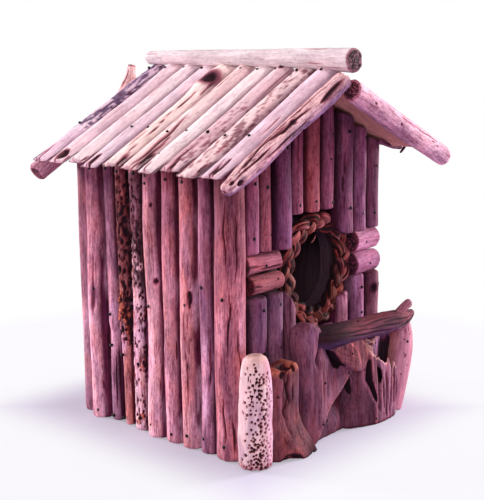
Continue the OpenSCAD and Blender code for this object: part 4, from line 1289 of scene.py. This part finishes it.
def gouged_block():
    shape = outline([(22.5, -4), (22, 17), (25, 29), (28.5, 40), (32, 50), (33.5, 57.5), (48, 58.5),
                     (62, 58.5), (74, 58.5), (80.5, 57), (80.6, 44), (79, 31), (77.5, 20), (71.5, 8),
                     (67, -4)])
    open_top = outline([(34, 53.5), (37.5, 52), (40, 51.8), (42.5, 49), (44, 49.4), (46, 46.6), (48, 46.8),
                        (50, 44.6), (52, 44), (54.5, 41), (55, 41.2), (57.5, 41), (60.2, 44.2), (62, 40),
                        (64, 32), (65.2, 28), (66.4, 33), (67.4, 39.4), (69.5, 37.5), (71.9, 33.5),
                        (76, 31), (84, 29), (88, 75), (34, 75)], smooth=False)

    def front(x, z):
        y = np.interp(x, (20, 24, 31, 41, 50, 60, 67, 73, 78, 82),
                      (-92, -95.5, -98.6, -102.2, -103.4, -102.6, -101, -98.5, -94, -88))
        y = y + 3.6 * ease(10, 56, z) + 4.5 * ease(8, 26, z) * ease(42, 28, x)
        for at, z0, z1, depth, lean in FURROWS:
            y = y + depth * hump(x - furrow_x(z, at, lean), 1.0) * band(z, z0, z1, 6)
        return y

    def back_of_hollow(x):
        return np.interp(x, (42, 46, 52, 58, 66, 76), (-99.5, -95.5, -92.5, -89.5, -87, -86))

    def slots(x, z):
        """Distances to three dark slots, negative inside them"""
        s1 = np.abs(x - np.interp(z, (18, 25, 32, 40, 46), (42.4, 40.2, 38.2, 38.6, 39.6)))
        s1 = s1 - np.interp(z, (14.5, 18, 26, 33, 40, 45, 48.5), (-0.8, 1.0, 1.6, 1.9, 1.7, 1.0, -0.6))
        s2 = np.abs(x - np.interp(z, (22, 35), (26.8, 26.6)))
        s2 = s2 - np.interp(z, (21, 25, 33, 37.5), (-0.6, 1.4, 1.2, -0.6))
        s3 = np.abs(x - np.interp(z, (28, 39), (48.4, 48.8)))
        s3 = s3 - np.interp(z, (27, 31, 37, 40.5), (-0.6, 1.4, 1.3, -0.6))
        return s1, s2, s3

    def relief(q):
        chewed = ease(46, 50, q[:, 2]) * ease(-0.5, 0.3, noise(q, (5, 5, 5), 339))
        pits = ease(0.42, 0.62, noise(q, (2.1, 1.3, 1.7), 337)) * chewed
        streaks = np.abs(noise(q, (1.7, 1.7, 22), 341)) * ease(40, 52, q[:, 0])
        return worn(q, 335, 0.8) + 1.4 * pits + 0.7 * streaks

    def field(p):
        x, y, z = np.moveaxis(p, -1, 0)
        f = both(shape(x, z), front(x, z) - y, 4.0)
        top = z - (57.6 + 0.42 * (y + 84))
        top = top - 0.8 * noise(p, (3, 3, 3), 331) - 0.5 * noise(p, (1.4, 1.4, 1.4), 332)
        f = both(f, top, 1.0)
        jag = 0.5 * noise(p * np.array([1, 0, 1]), (1.5, 1, 1.5), 333)
        f = without(f, np.maximum(open_top(x, z) + jag, y - back_of_hollow(x)), 0.5)
        shell = front(x, z) + 2.3
        hollow = np.maximum(np.maximum(shell - y, y - back_of_hollow(x)), np.maximum(24 - z, 45.5 - x))
        hollow = np.maximum(hollow, x - 76)
        f = without(f, hollow, 0.7)
        s1, s2, s3 = slots(x, z)
        f = without(f, np.maximum(s1, y + 92.5), 0.7)
        f = without(f, np.maximum(s2, y - front(x, z) - 5), 0.6)
        f = without(f, np.maximum(s3, y - front(x, z) - 2.4), 0.8)
        f = both(f, y + 81, 1.5)
        return np.maximum(roughened(f, p, relief), LOWEST - z)

    def paint(p, x, y, z, n):
        tint = base_tint(p, 343, tone(118, 68, 86), tone(92, 54, 78))
        right = ease(42, 56, x)
        tint = dab(tint, base_tint(p, 347, tone(160, 98, 124), tone(116, 72, 104)), right)
        tint = dab(tint, tone(196, 126, 146), 0.7 * ease(0.1, 0.6, noise(p, (2.2, 2.2, 26), 349)) * right)
        s1, s2, s3 = slots(x, z)
        tint = dab(tint, tone(190, 116, 140), 0.7 * hump(s1 - 1.3, 0.9) * ease(-92, -95, y))
        above = ease(0.35, 0.75, n[:, 2]) * ease(44, 48, z)
        beige = ease(47, 50.5, z) * ease(-99.5, -97.5, y - 0.25 * (x - 40)) * ease(62, 58, x)
        top = np.maximum(above, beige * ease(1.0, -0.4, np.abs(n[:, 0]) - 0.8))
        behind = y - front(x, z)
        inner = ease(2.2, 3.4, behind) * ease(43, 46, x)
        tint = dab(tint, tone(212, 150, 150), 0.95 * top * (1 - inner * ease(0.5, 0.2, n[:, 2])))
        streaky = mix(tone(84, 54, 92), tone(176, 124, 168),
                      ease(-0.1, 0.5, noise(p, (1.5, 1.5, 9), 351))[:, None])
        tint = dab(tint, streaky, inner * ease(0.6, 0.3, n[:, 2]) * ease(36, 44, z))
        edge = ease(1.7, 0.5, np.abs(open_top(x, z))) * ease(3.0, 1.8, behind) * ease(26, 30, z)
        tint = dab(tint, tone(240, 178, 180), 0.9 * edge)
        # Painted shade deep in the hollow, in the three slots and in the pits on the top
        dark = 0.98 * ease(44, 36, z) * inner + 1.4 * ease(0.1, 0.6, behind) * ease(0.9, 0.3, s1)
        dark = dark + 1.1 * ease(0.5, 1.6, behind) * ease(0.9, 0.2, s2)
        dark = dark + 0.55 * ease(0.6, 1.8, behind) * ease(0.6, 0, s3)
        dark = dark + 0.75 * ease(0.40, 0.58, noise(p, (2.1, 1.3, 1.7), 337)) * top
        dark = dark + 0.95 * inner * ease(61, 65, x) * ease(58, 48, z)
        # Painted shade in each furrow and a painted highlight on the ridge to its left
        for at, z0, z1, depth, lean in FURROWS:
            t = x - furrow_x(z, at, lean)
            hollow = hump(t, 0.9) * band(z, z0, z1, 6)
            dark = dark + 0.32 * depth * hollow
            tint = dab(tint, tone(206, 142, 168), 0.6 * hump(t + 2.4, 0.8) * right)
        # Painted shade along the floor
        dark = dark + 0.45 * ease(4, 0, z)
        dark = dark + 0.25 * ease(0.25, 0.5, np.abs(noise(p, (1.7, 1.7, 22), 341))) * right
        return tint, dark, 0.35 * top

    part = carved(field, (20.5, -105.5, 0), (82, -80.6, 60), paint, 4)
    block_nails(front, ((42.0, 4.5),), -0.2, 0.85)
    put("gouged_block_driftwood", [part], ["gouged_block"], BLOCK)


def flared_block():
    shape = outline([(-57, -4), (-57, 40), (-56.8, 55), (-54, 59.5), (-48, 60.3), (-40, 60.8), (-34.5, 61),
                     (-31, 57.5), (-30, 48), (-30.5, 32), (-28.6, 22), (-25, 11), (-21.5, 2), (-20, -4)])

    def rib_x(z):
        return np.interp(z, (20, 34, 50), (-49.5, -51.5, -50.5))

    def wander(z, at):
        return 0.7 * np.sin(z / 4.2 + at) + 0.35 * np.sin(z / 1.9)

    def front(x, z):
        y = -95.3 - 1.6 * np.cos((x + 44) / 8) - 9.5 * ease(30, 0, z) ** 1.5 * ease(-60, -44, x)
        t = x - rib_x(z)
        y = y - 1.2 * hump(t, 1.1) * ease(28, 36, z) * ease(56, 50, z)
        for at, z0, z1, depth, width in ((-48.6, 26, 56, 2.8, 0.9), (-46.4, 30, 52, 1.8, 0.8),
                                         (-44.4, 34, 58, 2.2, 0.8), (-40.5, 30, 50, 1.0, 0.8),
                                         (-46, 12, 30, 0.9, 0.9), (-37, 8, 36, 0.7, 0.9)):
            y = y + depth * hump(x - at - wander(z, at), width) * band(z, z0, z1, 5)
        return y

    def rot(p):
        a = np.linalg.norm((p - np.array([-43.8, -93, 60.5])) / np.array([7, 4.6, 4.2]), axis=-1) - 1
        b = np.linalg.norm((p - np.array([-49.6, -97, 56.2])) / np.array([2.6, 4, 2.3]), axis=-1) - 1
        c = np.linalg.norm((p - np.array([-39.5, -96.5, 57.2])) / np.array([1.6, 3, 1.8]), axis=-1) - 1
        return np.minimum(np.minimum(a * 4, b * 2), c * 1.6) + 0.9 * noise(p, (2.2, 2.2, 2.2), 361)

    def relief(q):
        toe = ease(10, 5, q[:, 2]) * ease(-36, -31, q[:, 0])
        return worn(q, 365, 0.8) + 1.2 * toe * ease(0.2, 0.5, noise(q, (2, 2, 2.6), 367))

    def field(p):
        x, y, z = np.moveaxis(p, -1, 0)
        f = both(shape(x, z), front(x, z) - y, 3.6)
        f = without(f, rot(p), 0.5)
        arch = (np.linalg.norm((p - np.array([-50, -108.5, 0])) / np.array([10, 11, 6.5]), axis=-1) - 1) * 5
        f = without(f, arch + 0.5 * noise(p, (3, 3, 3), 363), 0.8)
        f = both(f, y + 81.6, 1.5)
        return np.maximum(roughened(f, p, relief), LOWEST - z)

    def paint(p, x, y, z, n):
        tint = base_tint(p, 371, tone(128, 72, 82), tone(90, 51, 68))
        tint = dab(tint, tone(158, 84, 84), 0.6 * ease(0, 0.5, layered(p, (5, 5, 12), 373, 3)))
        tint = dab(tint, tone(150, 92, 130), 0.5 * ease(-36, -31, x) * ease(20, 40, z))
        t = x - rib_x(z)
        # Painted highlight along the rib
        tint = dab(tint, tone(176, 118, 148), 0.45 * hump(t + 0.4, 1.2) * ease(28, 34, z) * ease(56, 48, z))
        rim = ease(54, 59, z)
        tint = dab(tint, tone(196, 116, 98), 0.8 * rim)
        dark = 0.95 * ease(0.6, -0.5, rot(p)) * ease(-0.6, 0.4, noise(p, (3, 3, 3), 375) + 0.6)
        middle = ease(-53, -50, x) * ease(-37, -40, x) * ease(18, 26, z)
        # Painted shade in the fissures, under the arch, along the floor and in the toe's pits; the toe is
        # also darker towards the foot
        dark = dark + 0.55 * ease(0.6, 1.8, y - front(x, z)) * middle
        dark = dark + 0.9 * ease(-0.2, -0.7, n[:, 2]) * ease(8, 3, z) + 0.4 * ease(3.5, 0, z)
        toe = ease(10, 5, z) * ease(-38, -32, x)
        dark = dark + 0.7 * toe * ease(0.15, 0.5, noise(p, (2, 2, 2.6), 367))
        dark = dark + 0.5 * ease(12, 4, z) * ease(-40, -28, x)
        for at, z0, z1 in ((-48.6, 24, 54), (-46.4, 30, 52), (-44.4, 32, 58), (-40.5, 34, 50)):
            dark = dark + 0.8 * hump(x - at - wander(z, at), 0.8) * band(z, z0, z1, 5)
        return tint, dark, 0.3 * rim

    part = carved(field, (-58, -108.5, 0), (-20.5, -81, 62.5), paint, 2)
    block_nails(front, ((-40.5, 38.5), (-53.2, 42.3)), -0.3, 0.8)
    put("flared_block_driftwood", [part], ["flared_block"], BLOCK)


# Worm holes of the pale block: mm across from its middle line, height and radius
HOLES = (
    (-1, 68, .5), (0, 66, .6), (.5, 64, .8), (-1, 62, .5), (3, 62, .5), (6, 61.5, .6), (6, 58.5, .8),
    (6, 56.5, .8), (2.7, 55, .8), (4.4, 55.3, .6), (2.4, 52, .8), (4.4, 51.5, .8), (2.7, 49.7, .8),
    (8, 49.2, .9), (1.3, 48, .8), (4, 48.5, .8), (2.8, 46.5, .8), (7.2, 45, .8), (9, 45.8, .6),
    (6, 45.6, .6), (5.5, 43, .8), (4.3, 39.5, .8), (7.4, 39, .8), (5.9, 39.6, .6), (7, 36.5, .8),
    (5.8, 35, .8), (8.3, 35, .6), (6.5, 33.2, .9), (0, 31, .6), (2.5, 29.8, .6), (6.9, 30.3, .9),
    (4.2, 28.6, .9), (-2.6, 27, .6), (7.4, 27.2, .8), (4, 26, .8), (9.3, 25.7, .6), (6.9, 24.9, .8),
    (.5, 25.7, .5), (1.4, 24.2, .6), (-1.3, 24.2, .6), (-1.2, 22, .6), (0, 21, .6), (4.9, 22.6, .6),
    (-2.6, 20.5, .5), (-1, 19.7, .6), (5.9, 20, .6), (4.3, 19, .6), (0, 17.8, .8), (1.9, 18, .6),
    (3.3, 17.2, .6), (5, 17, .8), (1.9, 16, .8), (6.9, 15.4, .8), (8.4, 17.2, .6), (-2.5, 15.6, .8),
    (-.7, 14.6, .8), (-3.6, 13, .6), (-2.4, 13.4, .6), (-1, 13.2, .6), (5.4, 13, .8), (3.3, 11.7, .8),
    (.6, 11, .6), (3.3, 10.2, .8), (5.1, 10.2, .8), (-6.4, 10.4, .9), (-.9, 8, .6), (.4, 8.7, .6),
    (.6, 6, .8), (6, 6.1, .6), (8, 6.3, .6), (-8.6, 7, .8), (-9.1, 4.6, .6), (-4.4, 4, .6),
    (1.7, 4.8, .8), (3.9, 4.5, .8), (.6, 2.7, .8), (3.8, 2.2, .8), (6.6, 1.9, .8), (-7, 43.7, .8),
    (-1.8, 42, .6),
)


def pale_block():
    lo, hi = span("pale_block")
    r = (hi[0] - lo[0]) / 2
    mid = (lo + hi) / 2
    toward = unit((-0.734, -0.679, 0))
    rng = np.random.default_rng(401)
    spots = [(across, z, size * 1.12) for across, z, size in HOLES]
    while len(spots) < 158:
        across, z = rng.uniform(-8, 10.2), 60 * rng.uniform(0, 1) ** 1.3 + 2
        crowded = any(math.hypot(across - a, z - b) < 1.7 for a, b, _ in spots)
        if not crowded and rng.uniform() < ease(-7, 6, across) + 0.1:
            spots.append((across, z, rng.uniform(0.5, 0.9)))
    pits = [(math.degrees(math.asin(np.clip(across / (r + 0.3), -0.97, 0.97))), z, size, 2.6, 1.05)
            for across, z, size in spots]
    slits = []
    for across, z in ((-5, 58.6), (-3.6, 58), (0.2, 56.6), (-5, 53.8), (-1.2, 53), (-0.8, 51), (-3.4, 48.6),
                      (-2.6, 46.6), (-1.6, 44.4), (-8, 37.6), (-7.4, 36.8), (-5.4, 41.4), (-2.4, 37),
                      (-4.8, 60), (-6.4, 65.5)):
        slits.append((math.degrees(math.asin(across / (r + 0.3))), z, 0.32, 0.7, 3.0))
    back = [(rng.uniform(70, 290), rng.uniform(4, 66), rng.uniform(0.5, 0.85), 2.4, 1.05)
            for _ in range(60)]
    path = [(mid[0], mid[1], 0.2), (mid[0] - 0.4, mid[1], 24), (mid[0] + 0.3, mid[1], 48),
            (mid[0] + 0.2, mid[1], hi[2] - 1.8)]
    radii = [r * k for k in (0.96, 0.98, 0.985, 1.0, 1.02, 1.0, 0.97, 0.99, 1.0, 0.98, 0.96, 0.94, 0.9,
                             0.85, 0.76, 0.6)]
    part = limb(path, radii, toward, 403, tone(244, 206, 206), tone(232, 182, 188), around=170, pitch=0.4,
                bend=0.0, rough=0.55, pits=pits + slits + back, round_ends=(1.0, 3.0), chew=(1.2, 0.3),
                dark_ends=(0.2, 0.0), squash=0.02, blotch=0.6)
    x, z = part["co"] @ np.cross((0, 0, 1), toward), part["co"][:, 2]
    centre = mid @ np.cross((0, 0, 1), toward)
    p = part["co"]
    top = ease(62, 72, z) * ease(-0.4, 0.4, noise(p, (5, 5, 5), 405) + 0.3)
    daub(part, tone(236, 188, 178), 0.8 * top)
    daub(part, tone(208, 150, 186), 0.6 * ease(5, 10, x - centre))
    flushed = ease(-0.1, 0.5, noise(p, (3, 3, 6), 407)) * ease(-2, 6, x - centre)
    daub(part, tone(206, 138, 158), 0.5 * flushed)
    foot = ease(5.5, 1.5, z + 1.8 * noise(p, (2, 2, 2), 409))
    daub(part, tone(196, 130, 140), 0.8 * foot)
    specks = ease(0, 0.4, noise(p, (1.4, 1.4, 1.4), 411))
    part["dark"] = np.clip(part["dark"].ravel() + 0.5 * foot * specks, 0, 1)
    part["co"][:, 2] = np.maximum(part["co"][:, 2], 0.04)
    put("pale_block_driftwood", [part], ["pale_block"], PALE)


def upright_block():
    toward = unit((-0.8, -0.6, 0))
    path = [(75.3, -89.5, 0.3), (81.3, -89.2, 21), (86.4, -89, 39), (88.6, -89, 55), (87.2, -89, 65)]
    part = limb(path, (8.0, 8.6, 9.0, 9.2, 9.1, 8.2, 5.6), toward, 421, tone(206, 138, 156),
                tone(196, 122, 128), around=96, pitch=0.9, bend=0.3, rough=0.9, round_ends=(1.2, 3.0),
                chew=(0.4, 0.3), blotch=0.8,
                pits=[(28, 40, 0.6, 0.8, 1.2), (16, 52, 0.5, 0.6, 1.2), (46, 33, 0.45, 0.5, 1.3),
                      (50, 56, 0.4, 0.4, 1.2), (22, 26, 0.5, 0.6, 1.2)])
    p = part["co"]
    # Painted shade on the left side of the block
    left = ease(2, -6, (p - np.array([82, -89, 0])) @ unit((0.62, -0.78, 0)) - 0.16 * (p[:, 2] - 30))
    daub(part, tone(166, 98, 92), 0.7 * left)
    daub(part, tone(196, 122, 146), 0.5 * ease(34, 16, p[:, 2]))
    part["co"][:, 2] = np.maximum(part["co"][:, 2], 0.04)
    for across, z in ((5.5, 49.4), (3.2, 41.2)):
        c = np.array([np.interp(z, (21, 39, 55), (81.3, 86.4, 88.6)), -89.1, z])
        out = unit(toward * math.sqrt(1 - (across / 9) ** 2) + np.array([0.6, -0.8, 0]) * across / 9)
        nail("front_block_nails", c + out * 8.8, out, 0.8)
    put("upright_block_driftwood", [part], ["upright_block"], BLEACHED)


def perch():
    path = [(-9, -86.5, 68.6), (8, -91.5, 68.8), (20, -93, 68.8), (38, -94.2, 68.6), (56, -95.5, 68.2),
            (70, -97, 68.2), (80, -98, 68.6), (88.5, -99, 71.5)]
    main = limb(path, (7.4, 8.0, 8.0, 7.8, 7.7, 7.6, 7.7, 7.8, 7.2, 5.4, 2.4), unit((-0.3, -0.9, 0.35)),
                431, tone(122, 58, 74), tone(84, 40, 60), around=80, pitch=0.9, bend=0.2, rough=1.5,
                round_ends=(1.5, 1.2), chew=(0.3, 0.3), blotch=0.9, dark_ends=(0.3, 0.2), grime=0.3,
                cracks=[(-6, 58, 94, 0.6, 0.9), (14, 40, 88, 0.5, 0.8), (48, 76, 99, 1.6, 2.2),
                        (34, 20, 70, 0.6, 0.9), (-20, 30, 76, 0.5, 0.7), (4, 16, 44, 0.5, 0.7)],
                pits=[(-52, 38, 0.8, 0.7, 1.6)])
    knob = limb([(69, -97.5, 70.5), (76, -98.3, 75.5), (84.5, -99.2, 79.2)], (3.6, 3.3, 3.2, 3.4, 3.3),
                unit((-0.6, -0.7, 0.3)), 433, tone(186, 116, 130), tone(140, 84, 98), around=48, pitch=0.6,
                bend=0.1, rough=1.0, round_ends=(1, 1.2), chew=(0, 0.5), dark_ends=(0, 0.5),
                pits=[(50, 16.5, 1.1, 2.2, 1.2)])
    for part in (main, knob):
        p = part["co"]
        # Painted shadow over the left end, which lies behind the forked block, and painted shade on the
        # underside
        daub(part, tone(40, 14, 26), 0.95 * ease(36, 2, p[:, 0]))
        below = ease(70, 63, p[:, 2] - 0.02 * p[:, 0])
        daub(part, tone(84, 56, 96), 0.6 * below)
        daub(part, tone(158, 98, 116), 0.5 * ease(62, 84, p[:, 0]))
        tip = ease(92, 96, p[:, 0]) * ease(74, 68, p[:, 2])
        part["dark"] = np.clip(part["dark"] + 0.5 * tip[:, None], 0, 1)
    put("perch_driftwood", [main, knob], ["perch_branch"], BLOCK)


# ---------- braided ring ----------

def braid_ring():
    """Three flat strands plaited round the entrance; after each turn a strand goes on as the next one."""
    lo, hi = span("braid_ring")
    cx, cy, cz = (lo + hi) / 2
    thick = hi[1] - lo[1]
    wide, high = (hi[0] - lo[0] - thick) / 2, (hi[2] - lo[2] - thick) / 2 + 0.2
    plaits = 17 / 3
    rows, around = 720, 32
    t = np.arange(rows) / rows * 6 * math.pi
    wave = plaits * t
    egg = 1 + 0.03 * np.sin(2 * t + 0.6) + 0.02 * np.sin(3 * t)
    base = np.stack([cx + wide * egg * np.cos(t), np.full(rows, cy), cz + high * egg * np.sin(t)], -1)
    outward = unit(np.stack([np.cos(t) / wide, np.zeros(rows), np.sin(t) / high], -1))
    step = 1.0 + 0.25 * np.sin(1.7 * t + 1)
    centre = base + outward * (3.3 * np.sin(wave) * step)[:, None]
    centre[:, 1] += -2.1 * np.sin(2 * wave) - 0.2
    along = unit(np.roll(centre, -1, 0) - np.roll(centre, 1, 0))
    side = unit(np.cross(along, (0, 1, 0)))
    face = np.cross(side, along)
    th = np.arange(around) / around * 2 * math.pi
    lobe = np.floor(wave / math.pi + 0.5).astype(int)
    inside_lobe = np.abs(np.cos(wave)) ** 0.6
    vary = lattice(lobe, lobe * 0 + 3, lobe * 0, 441)
    half_w = 3.4 + 0.9 * (1 - inside_lobe) + 0.35 * vary
    half_t = 2.35 + 0.3 * (1 - inside_lobe)
    place = np.cumsum(np.linalg.norm(np.diff(centre, axis=0, append=centre[:1]), axis=1))
    c, s = np.cos(th)[None], np.sin(th)[None]
    u = half_w[:, None] * np.sign(c) * np.abs(c) ** 0.8
    v = half_t[:, None] * np.sign(s) * np.abs(s) ** 0.85
    q = np.stack([u, v, np.repeat(place[:, None], around, 1)], -1)
    twist = q.copy()
    twist[..., 0] += 0.12 * q[..., 2]
    fold = noise(twist, (1.5, 4, 16), 443) + 0.6 * noise(twist, (0.8, 3, 12), 445)
    grow = 1 + 0.18 * fold
    u, v = u * grow, v * grow
    co = centre[:, None] + side[:, None] * u[..., None] + face[:, None] * v[..., None]
    grid = np.arange(rows * around).reshape(rows, around)
    nxt, down = np.roll(grid, -1, 1), np.roll(grid, -1, 0)
    quads = np.stack([grid, nxt, np.roll(nxt, -1, 0), down], -1).reshape(-1, 4)
    colours = np.array([tone(140, 72, 66), tone(160, 78, 72), tone(120, 72, 66), tone(144, 76, 78),
                        tone(104, 58, 58), tone(166, 96, 98), tone(128, 74, 66), tone(152, 70, 66)])
    pick = ((lattice(lobe, lobe * 0 + 9, lobe * 0, 447) * 0.5 + 0.5) * 7.99).astype(int)
    tint = np.repeat(colours[pick][:, None], around, 1)
    streak = noise(twist, (0.9, 3, 14), 449)
    tint = mix(tint, tone(190, 124, 120)[None, None], (0.4 * ease(0.3, 0.75, streak))[..., None])
    tint = mix(tint, tone(78, 42, 40)[None, None], (0.6 * ease(-0.2, -0.6, streak))[..., None])
    # Painted shade in the folds, along the strands' edges and where each strand passes under the next
    dark = 0.9 * ease(0.1, -0.45, fold) + 0.7 * ease(0.75, 0.98, np.abs(c))
    dark = dark + 0.45 * (1 - inside_lobe)[:, None]
    part = {"co": co.reshape(-1, 3), "faces": quads, "grain": q.reshape(-1, 3), "tint": tint.reshape(-1, 3),
            "dark": np.clip(dark, 0, 1).reshape(-1), "cut": np.zeros(grid.size)}
    parts = [part]
    rng = np.random.default_rng(451)
    strays = [((19, -66.5, 132.5), (17.5, -66.2, 129.5), (14.5, -66, 127.4), 0.5),
              ((20, -75, 80), (24, -76, 84), (27, -75, 80.5), 0.8),
              ((12, -75, 82), (14, -76.2, 78), (11, -75, 74.5), 0.8)]
    for k, (a, b, d, r) in enumerate(strays):
        hue = colours[rng.integers(len(colours))]
        parts.append(limb([a, b, d], (r * 0.5, r, r, r * 0.4), (0, -1, 0), 461 + k,
                          mix(hue, tone(170, 110, 106), 0.3), hue, around=14, pitch=0.7, bend=0.1,
                          rough=0.4, round_ends=(0.6, 0.6), chew=(0.1, 0.1), squash=0.2))
    put("braid_ring_fibre", parts, ["braid_ring"], BRAID)


for build in (left_wall, right_wall, back_wall, corner, upper_front, lower_front, short_logs, roofs, ridge,
              front_left_rake, front_right_rake, back_rakes, braid_ring, perch, pale_block, flared_block,
              forked_block, gouged_block, upright_block):
    build()
for group in sorted(nails):
    nail_heads(group)

BOARD = sawn_board("board_wood", (0.065, 0.028, 0.042), (0.026, 0.011, 0.018))
SOFFIT = sawn_board("roof_board_wood", (0.62, 0.27, 0.21), (0.42, 0.16, 0.13))
for material, boards in ((BOARD, ("floor", "front", "back", "left", "right")),
                         (SOFFIT, ("left_roof", "right_roof"))):
    for name in boards:
        slots = frame["nodes"][f"{name}_board"].data.materials
        slots.clear()
        slots.append(material)


# ---------- stage ----------

def camera():
    """Where the photo was taken from"""
    cam = bpy.data.cameras.new("camera")
    cam.lens, cam.sensor_width = 78.3, 36
    obj = bpy.data.objects.new("camera", cam)
    bpy.context.scene.collection.objects.link(obj)
    yaw, pitch, roll = math.radians(46.585), math.radians(-10.9155), math.radians(-0.5826)
    turn = (Matrix.Rotation(-yaw, 4, "Z") @ Matrix.Rotation(math.pi / 2 + pitch, 4, "X")
            @ Matrix.Rotation(roll, 4, "Z"))
    obj.matrix_world = Matrix.Translation((-0.542, -0.5285, 0.2625)) @ turn
    bpy.context.scene.camera = obj


def floor():
    """A pale floor that fades into the white all round the foot of the birdhouse"""
    mesh = bpy.data.meshes.new("floor")
    s = 3.0  # half its width in metres
    half_x, half_y = 0.085, 0.1  # of the area that keeps the shadow
    mesh.from_pydata([(-s, -s, 0), (s, -s, 0), (s, s, 0), (-s, s, 0)], [], [(0, 1, 2, 3)])
    obj = bpy.data.objects.new("floor", mesh)
    bpy.context.scene.collection.objects.link(obj)
    material = bpy.data.materials.new("floor_white")
    g = Graph(material)
    g.shader.inputs["Roughness"].default_value = 0.95
    g.shader.inputs["Specular IOR Level"].default_value = 0.05
    at = g.node("ShaderNodeTexCoord").outputs["Object"]
    away = g.node("ShaderNodeVectorMath", {0: at}, operation="LENGTH").outputs["Value"]
    parts = g.node("ShaderNodeSeparateXYZ", {0: at}).outputs
    past_x = g.math("SUBTRACT", g.math("ABSOLUTE", parts["X"]), half_x)
    past_y = g.math("SUBTRACT", g.math("ABSOLUTE", parts["Y"]), half_y)
    past = g.math("MAXIMUM", past_x, past_y)
    mottle = g.noise(at, 14.0, 3.0, 0.5)
    g.link(g.blend(g.steps(mottle, 0.35, 0.65), (0.5, 0.42, 0.62, 1), (0.54, 0.46, 0.66, 1)),
           g.shader.inputs["Base Color"])
    white = g.node("ShaderNodeEmission", {"Color": (1, 1, 1, 1), "Strength": 1.0})
    seen = g.node("ShaderNodeLightPath").outputs["Is Camera Ray"]
    pick = g.node("ShaderNodeMixShader")
    haze = g.math("MAXIMUM", g.steps(away, 0.14, 0.36), g.steps(past, -0.01, 0.05, 0.3, 0.86))
    g.link(g.math("MULTIPLY", seen, haze), pick.inputs[0])
    g.tree.links.new(g.shader.outputs[0], pick.inputs[1])
    g.tree.links.new(white.outputs[0], pick.inputs[2])
    g.tree.links.new(pick.outputs[0], g.tree.nodes["Material Output"].inputs["Surface"])
    mesh.materials.append(material)


def world():
    """Dim violet light all round, seen as white by the camera"""
    w = bpy.data.worlds.new("studio")
    bpy.context.scene.world = w
    w.use_nodes = True
    tree = w.node_tree
    tree.nodes.clear()
    out = tree.nodes.new("ShaderNodeOutputWorld")
    light, white = tree.nodes.new("ShaderNodeBackground"), tree.nodes.new("ShaderNodeBackground")
    light.inputs[0].default_value = (0.95, 0.8, 1.0, 1)
    light.inputs[1].default_value = 0.16
    white.inputs[0].default_value = (1, 1, 1, 1)
    white.inputs[1].default_value = 1.0
    path = tree.nodes.new("ShaderNodeLightPath")
    pick = tree.nodes.new("ShaderNodeMixShader")
    tree.links.new(path.outputs["Is Camera Ray"], pick.inputs[0])
    tree.links.new(light.outputs[0], pick.inputs[1])
    tree.links.new(white.outputs[0], pick.inputs[2])
    tree.links.new(pick.outputs[0], out.inputs[0])


def softbox(name, at, aim, size, power):
    """A round white lamp of that size in metres and power in watts"""
    lamp = bpy.data.lights.new(name, "AREA")
    lamp.shape, lamp.size, lamp.energy = "DISK", size, power
    obj = bpy.data.objects.new(name, lamp)
    bpy.context.scene.collection.objects.link(obj)
    at, aim = Vector(at), Vector(aim)
    obj.matrix_world = Matrix.Translation(at) @ (aim - at).to_track_quat("-Z", "Y").to_matrix().to_4x4()


camera()
floor()
world()
middle = (0, 0, 0.13)
for name, at, size, power in (
    ("top_light", (-0.1, -0.15, 1.5), 0.6, 12.3), ("left_light", (-0.55, 1.15, 0.34), 0.35, 21),
    ("right_light", (1.2, -0.5, 0.34), 0.35, 27), ("front_light", (-0.95, -0.85, 0.6), 0.5, 7.6),
):
    softbox(name, at, middle, size, power)
bpy.context.scene.view_settings.view_transform = "Standard"
